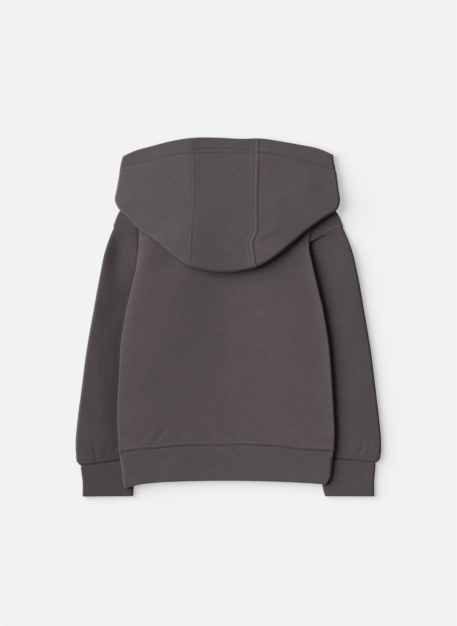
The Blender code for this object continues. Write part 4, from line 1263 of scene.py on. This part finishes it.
def hem_relief(x, y):
    """The hood's hem: its stitching pulls the doubled cloth down in one or two furrows."""
    off = hem_offset(x, y)
    right = ramp(x, 34.0, 46.0)
    left = 1.0 - ramp(x, -58.0, -46.0)
    middle = np.clip(1.0 - right - left, 0.0, 1.0)
    pulled = 0.0
    for name, share in (("right", right), ("left", left), ("centre", middle)):
        hem = HEM_ROWS[name]
        pulled = pulled + share * hem.depth * sum(furrow(off, row, hem.width) for row in hem.rows)
    rolls = blend(0.1, 0.5, right) * (bump(off, -5.6, 2.2) + bump(off, 2.8, 2.2)) * (1.0 - middle)
    return rolls - pulled * (1.0 + 0.15 * waver(x, 0.0, 6.0, 30.0))


def hood_dome(x):
    """How far the spread hood stands up from its left edge to its middle."""
    return np.interp(x, *zip(*HOOD_DOME))


def hood_relief(grid, normals, name):
    """What a hood panel's seams, hem, creases and fullness add along its normal."""
    x, y = grid[..., 0], grid[..., 1]
    top = ease(normals[..., 2] * 1.3 - 0.1) * (y > 60)
    raised = top * (hem_relief(x, y) + hood_dome(x) + 0.16 * waver(x, y, 13.0, 52.0)
                    + creased(x, y, HOOD_CREASES))
    edge = np.concatenate([grid[0], grid[:, -1]])
    seams = {"left": [("hood_left", edge)], "right": [("hood_right", edge)],
             "centre": [("hood_centre_left", grid[:, 0]), ("hood_centre_right", grid[:, -1])]}
    for seam, line in seams[name]:
        raised += beside_seam(seam, grid, line, 0.2)
    return raised + (1.0 - top) * 0.2 * waver(x, y, 15.0, 40.0)


# Topstitching


def stitch_rows(name, rows, material):
    """Rows of topstitching as one mesh. Each row is a line of points and their normals, in millimetres."""
    verts, faces = [], []
    sides = THREAD_SIDES
    for points, normals in rows:
        run = running(steps_of(points))
        for start in np.arange(FIRST_STITCH, run[-1] - STITCH, STITCH_PITCH):
            a, b = along_line(points, run, start), along_line(points, run, start + STITCH)
            if min(a[2], b[2]) < LOWEST_STITCH:
                continue
            n = unit(along_line(normals, run, start + STITCH / 2))
            across = unit(np.cross(n, unit(b - a)))
            base = len(verts)
            verts.append(a - n * STITCH_DIPS)
            for share in STITCH_SHOULDERS:
                at = blend(a, b, share) + n * STITCH_RISES
                verts += [at + THREAD / 2 * (across * np.cos(t) + n * np.sin(t))
                          for t in 2 * np.pi * np.arange(sides) / sides]
            verts.append(b - n * STITCH_DIPS)
            for k in range(sides):
                here, after = base + 1 + k, base + 1 + (k + 1) % sides
                faces.append((base, after, here))
                faces.append((here, after, after + sides, here + sides))
                faces.append((here + sides, after + sides, base + 1 + 2 * sides))
    obj = mesh_piece(name, verts, faces, material)
    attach(obj, "root")


def on_surface(grid, normals, wall):
    """The cloth's outer face above a middle-surface grid."""
    return grid + normals * wall / 2


# Making


def make_body(materials):
    """The back panel. Its outer face and normals go back, for the topstitching."""
    back = body_panel(BACK_NECK, CLOTH / 2 + LAYER_STEP, -1, *body_steps(*BACK_STEPS))
    back = back + normals_of(back) * back_relief(back)[..., None]
    back[..., 2] += shoulder_step(back[..., 0], back[..., 1])
    obj = sheet_object("back_cloth", back, CLOTH, materials["body_fleece"])
    dress(obj, "back_panel")
    normals = normals_of(back)
    return on_surface(back, normals, CLOTH), normals


def make_front(materials):
    """The front panel, which the others lie on."""
    front = body_panel(FRONT_NECK, CLOTH / 2, 1, *body_steps(*FRONT_STEPS))
    x, y = front[..., 0], front[..., 1]
    relief = 0.25 * waver(x, y, 21.0, 50.0) * ramp(lift(x, y), 0.5, 5.0)
    relief += beside_seam("front_at_waistband", front[..., :2], front[-1, :, :2])
    front = front + normals_of(front) * relief[..., None]
    obj = sheet_object("front_cloth", front, CLOTH, materials["body_fleece"])
    dress(obj, "front_panel")


def make_sleeve(side, word, materials):
    """A sleeve. Its outer face and normals go back, for the topstitching."""
    grid = sleeve_grid(side)
    normals = normals_of(grid, closed=True)
    tilt = sleeve_tilt(side, grid, normals)
    grid = raised_by(sleeve_relief(side, grid, normals), grid, normals, CLOTH, tilt)
    obj = sheet_object(f"{word}_sleeve_cloth", grid, CLOTH, materials[word + "_sleeve_fleece"], closed=True)
    dress(obj, f"sleeve_{word}")
    normals = normals_of(grid, closed=True)
    return on_surface(grid, normals, CLOTH), normals


def make_cuff(side, word, materials):
    """A cuff, which stands up a little towards its outer fold on the left."""
    grid = cuff_grid(side)
    normals = normals_of(grid, closed=True)
    tilt = facing_up(normals) * blend(*CUFF_TILT[side], ramp(side * grid[..., 0], 208.0, 138.0))
    grid = raised_by(cuff_relief(side, grid), grid, normals, RIB, tilt)
    obj = doubled_rib(f"{word}_cuff_rib", grid, materials[word + "_cuff_knit"])
    dress(obj, f"cuff_{word}")


def make_waistband(materials):
    """The waistband, over the ends of both cuffs."""
    grid = waistband_grid()
    grid = raised_by(waistband_relief(grid), grid, normals_of(grid, closed=True), RIB)
    obj = doubled_rib("waistband_rib", grid, materials["rib_knit"])
    dress(obj, "waistband")


def doubled_rib(name, grid, material):
    """A tube of two layers of rib on both sides of a grid, folded at its hem."""
    normals = normals_of(grid, closed=True)
    half = (RIB - RIB_LAYER) / 2
    doubled = turned_in(grid + normals * half, normals, len(grid), 2 * half)
    return sheet_object(name, doubled, RIB_LAYER, material, closed=True)


def make_hood_panel(name, grid, material):
    """One of the hood's panels with its hem. Its outer face and normals go back, for the topstitching."""
    normals = normals_of(grid)
    grid = raised_by(hood_relief(grid, normals, name), grid, normals, CLOTH)
    normals = normals_of(grid)
    hem_rows = int((steps_of(grid[:, -5])[::-1].cumsum() < HOOD_HEM).sum())
    rim_x, rim_y = grid[-1, :, 0], grid[-1, :, 1]
    spacing = blend(PRESSED, TURN_IN, ramp(rim_y - shoulder_y(rim_x), 2.0, 14.0))
    hemmed = turned_in(grid, normals, hem_rows, spacing)
    obj = sheet_object(f"hood_{name}_cloth", hemmed, CLOTH, material)
    dress(obj, f"hood_{name}")
    return on_surface(grid, normals, CLOTH), normals


def make_hood(materials, thread):
    """The hood's three panels and the topstitching beside their seams and along the hem."""
    panels = {}
    for name, grid, flat, area in (("left", hood_side_grid(LEFT), (0.24, 0.21), 0.0355),
                                   ("right", hood_side_grid(RIGHT), (0.24, 0.21), 0.036),
                                   ("centre", hood_centre_grid(), (0.094, 0.33), 0.0295)):
        panels[name] = make_hood_panel(name, grid, materials[name + "_hood_fleece"])
    rows = [line_at(*panels[name], away, from_end, by_rows=False) for name, away, from_end in SEAM_STITCHING]
    for name, hem in HEM_ROWS.items():
        face, normals = panels[name]
        off = hem_offset(face[..., 0], face[..., 1])
        rows += [line_where(face, normals, off - row) for row in hem.rows]
    stitch_rows("hood_seam_topstitch", rows, thread)


def make_floor():
    """A pale table lit from within, but not under the garment, so that only the nearest shadows show."""
    bpy.ops.mesh.primitive_plane_add(size=FLOOR_SIZE, location=(0.0, 0.0, -FLOOR_DROP))
    floor = bpy.context.object
    floor.name = "floor"
    bpy.ops.object.transform_apply(location=True, rotation=True, scale=True)
    material, tree, shader = new_material(
        "pale_floor", Base_Color=(0.379, 0.379, 0.379, 1.0), Emission_Color=(1.0, 1.0, 1.0, 1.0),
        Roughness=0.95, Specular_IOR_Level=0.1)
    split = node_of(tree, "SeparateXYZ", {"Vector": node_of(tree, "TexCoord").outputs["Object"]})
    under = []
    for axis, shift, starts, full in COVERED:
        away = maths(tree, "ABSOLUTE", maths(tree, "ADD", split.outputs[axis], shift))
        fade = node_of(tree, "MapRange", {"Value": away}, From_Min=starts, From_Max=full)
        fade.interpolation_type = "SMOOTHSTEP"
        under.append(fade.outputs["Result"])
    glow = maths(tree, "MULTIPLY_ADD", maths(tree, "MULTIPLY", *under), -GLOW, GLOW)
    tree.links.new(glow, shader.inputs["Emission Strength"])
    floor.data.materials.append(material)
    floor.select_set(False)


def light_it():
    """A large soft key from the upper left and an even fill."""
    key = bpy.data.lights.new("key", "SUN")
    key.energy = KEY_STRENGTH
    key.angle = KEY_SPREAD
    key_object = bpy.data.objects.new("key", key)
    elevation, azimuth = KEY_FROM
    from_there = np.array([np.cos(elevation) * np.cos(azimuth), np.cos(elevation) * np.sin(azimuth),
                           np.sin(elevation)])
    key_object.rotation_euler = (np.pi / 2 - elevation, 0.0, azimuth + np.pi / 2)
    key_object.location = tuple(from_there * 2.0)
    bpy.context.scene.collection.objects.link(key_object)
    world = bpy.data.worlds.new("studio")
    world.use_nodes = True
    background = world.node_tree.nodes["Background"]
    background.inputs["Color"].default_value = (1.0, 1.0, 1.0, 1.0)
    background.inputs["Strength"].default_value = FILL_STRENGTH
    bpy.context.scene.world = world
    bpy.context.scene.view_settings.view_transform = "Standard"


def look_down():
    """The camera, straight above the garment with the head end up."""
    camera = bpy.data.cameras.new("camera")
    camera.lens = LENS
    camera.sensor_width = SENSOR
    camera.clip_end = 50.0
    obj = bpy.data.objects.new("camera", camera)
    obj.location = (*VIEW_MIDDLE, VIEW_TALL / SENSOR * LENS + GARMENT_MIDDLE_Z)
    bpy.context.scene.collection.objects.link(obj)
    bpy.context.scene.camera = obj


def main():
    for obj in bpy.context.selected_objects:
        obj.select_set(False)
    look_down()
    make_floor()
    light_it()
    materials = {name: fleece(name, colour) for name, colour in FLEECE_COLOURS_WITH_PAINTED_SHADING.items()}
    materials.update({name: fleece(name, colour, rib=True) for name, colour in RIB_COLOURS_WITH_PAINTED_SHADE.items()})
    thread = thread_material(THREAD_COLOUR)
    make_front(materials)
    stitching = [line_at(*make_body(materials), BAND_STITCHING, from_end=True)]
    for side, word in ((LEFT, "left"), (RIGHT, "right")):
        ring = line_at(*make_sleeve(side, word, materials), CUFF_STITCHING, from_end=True)
        stitching.append([np.concatenate([values, values[:1]]) for values in ring])
        make_cuff(side, word, materials)
    make_waistband(materials)
    make_hood(materials, thread)
    stitch_rows("body_topstitch", stitching, thread)


main()
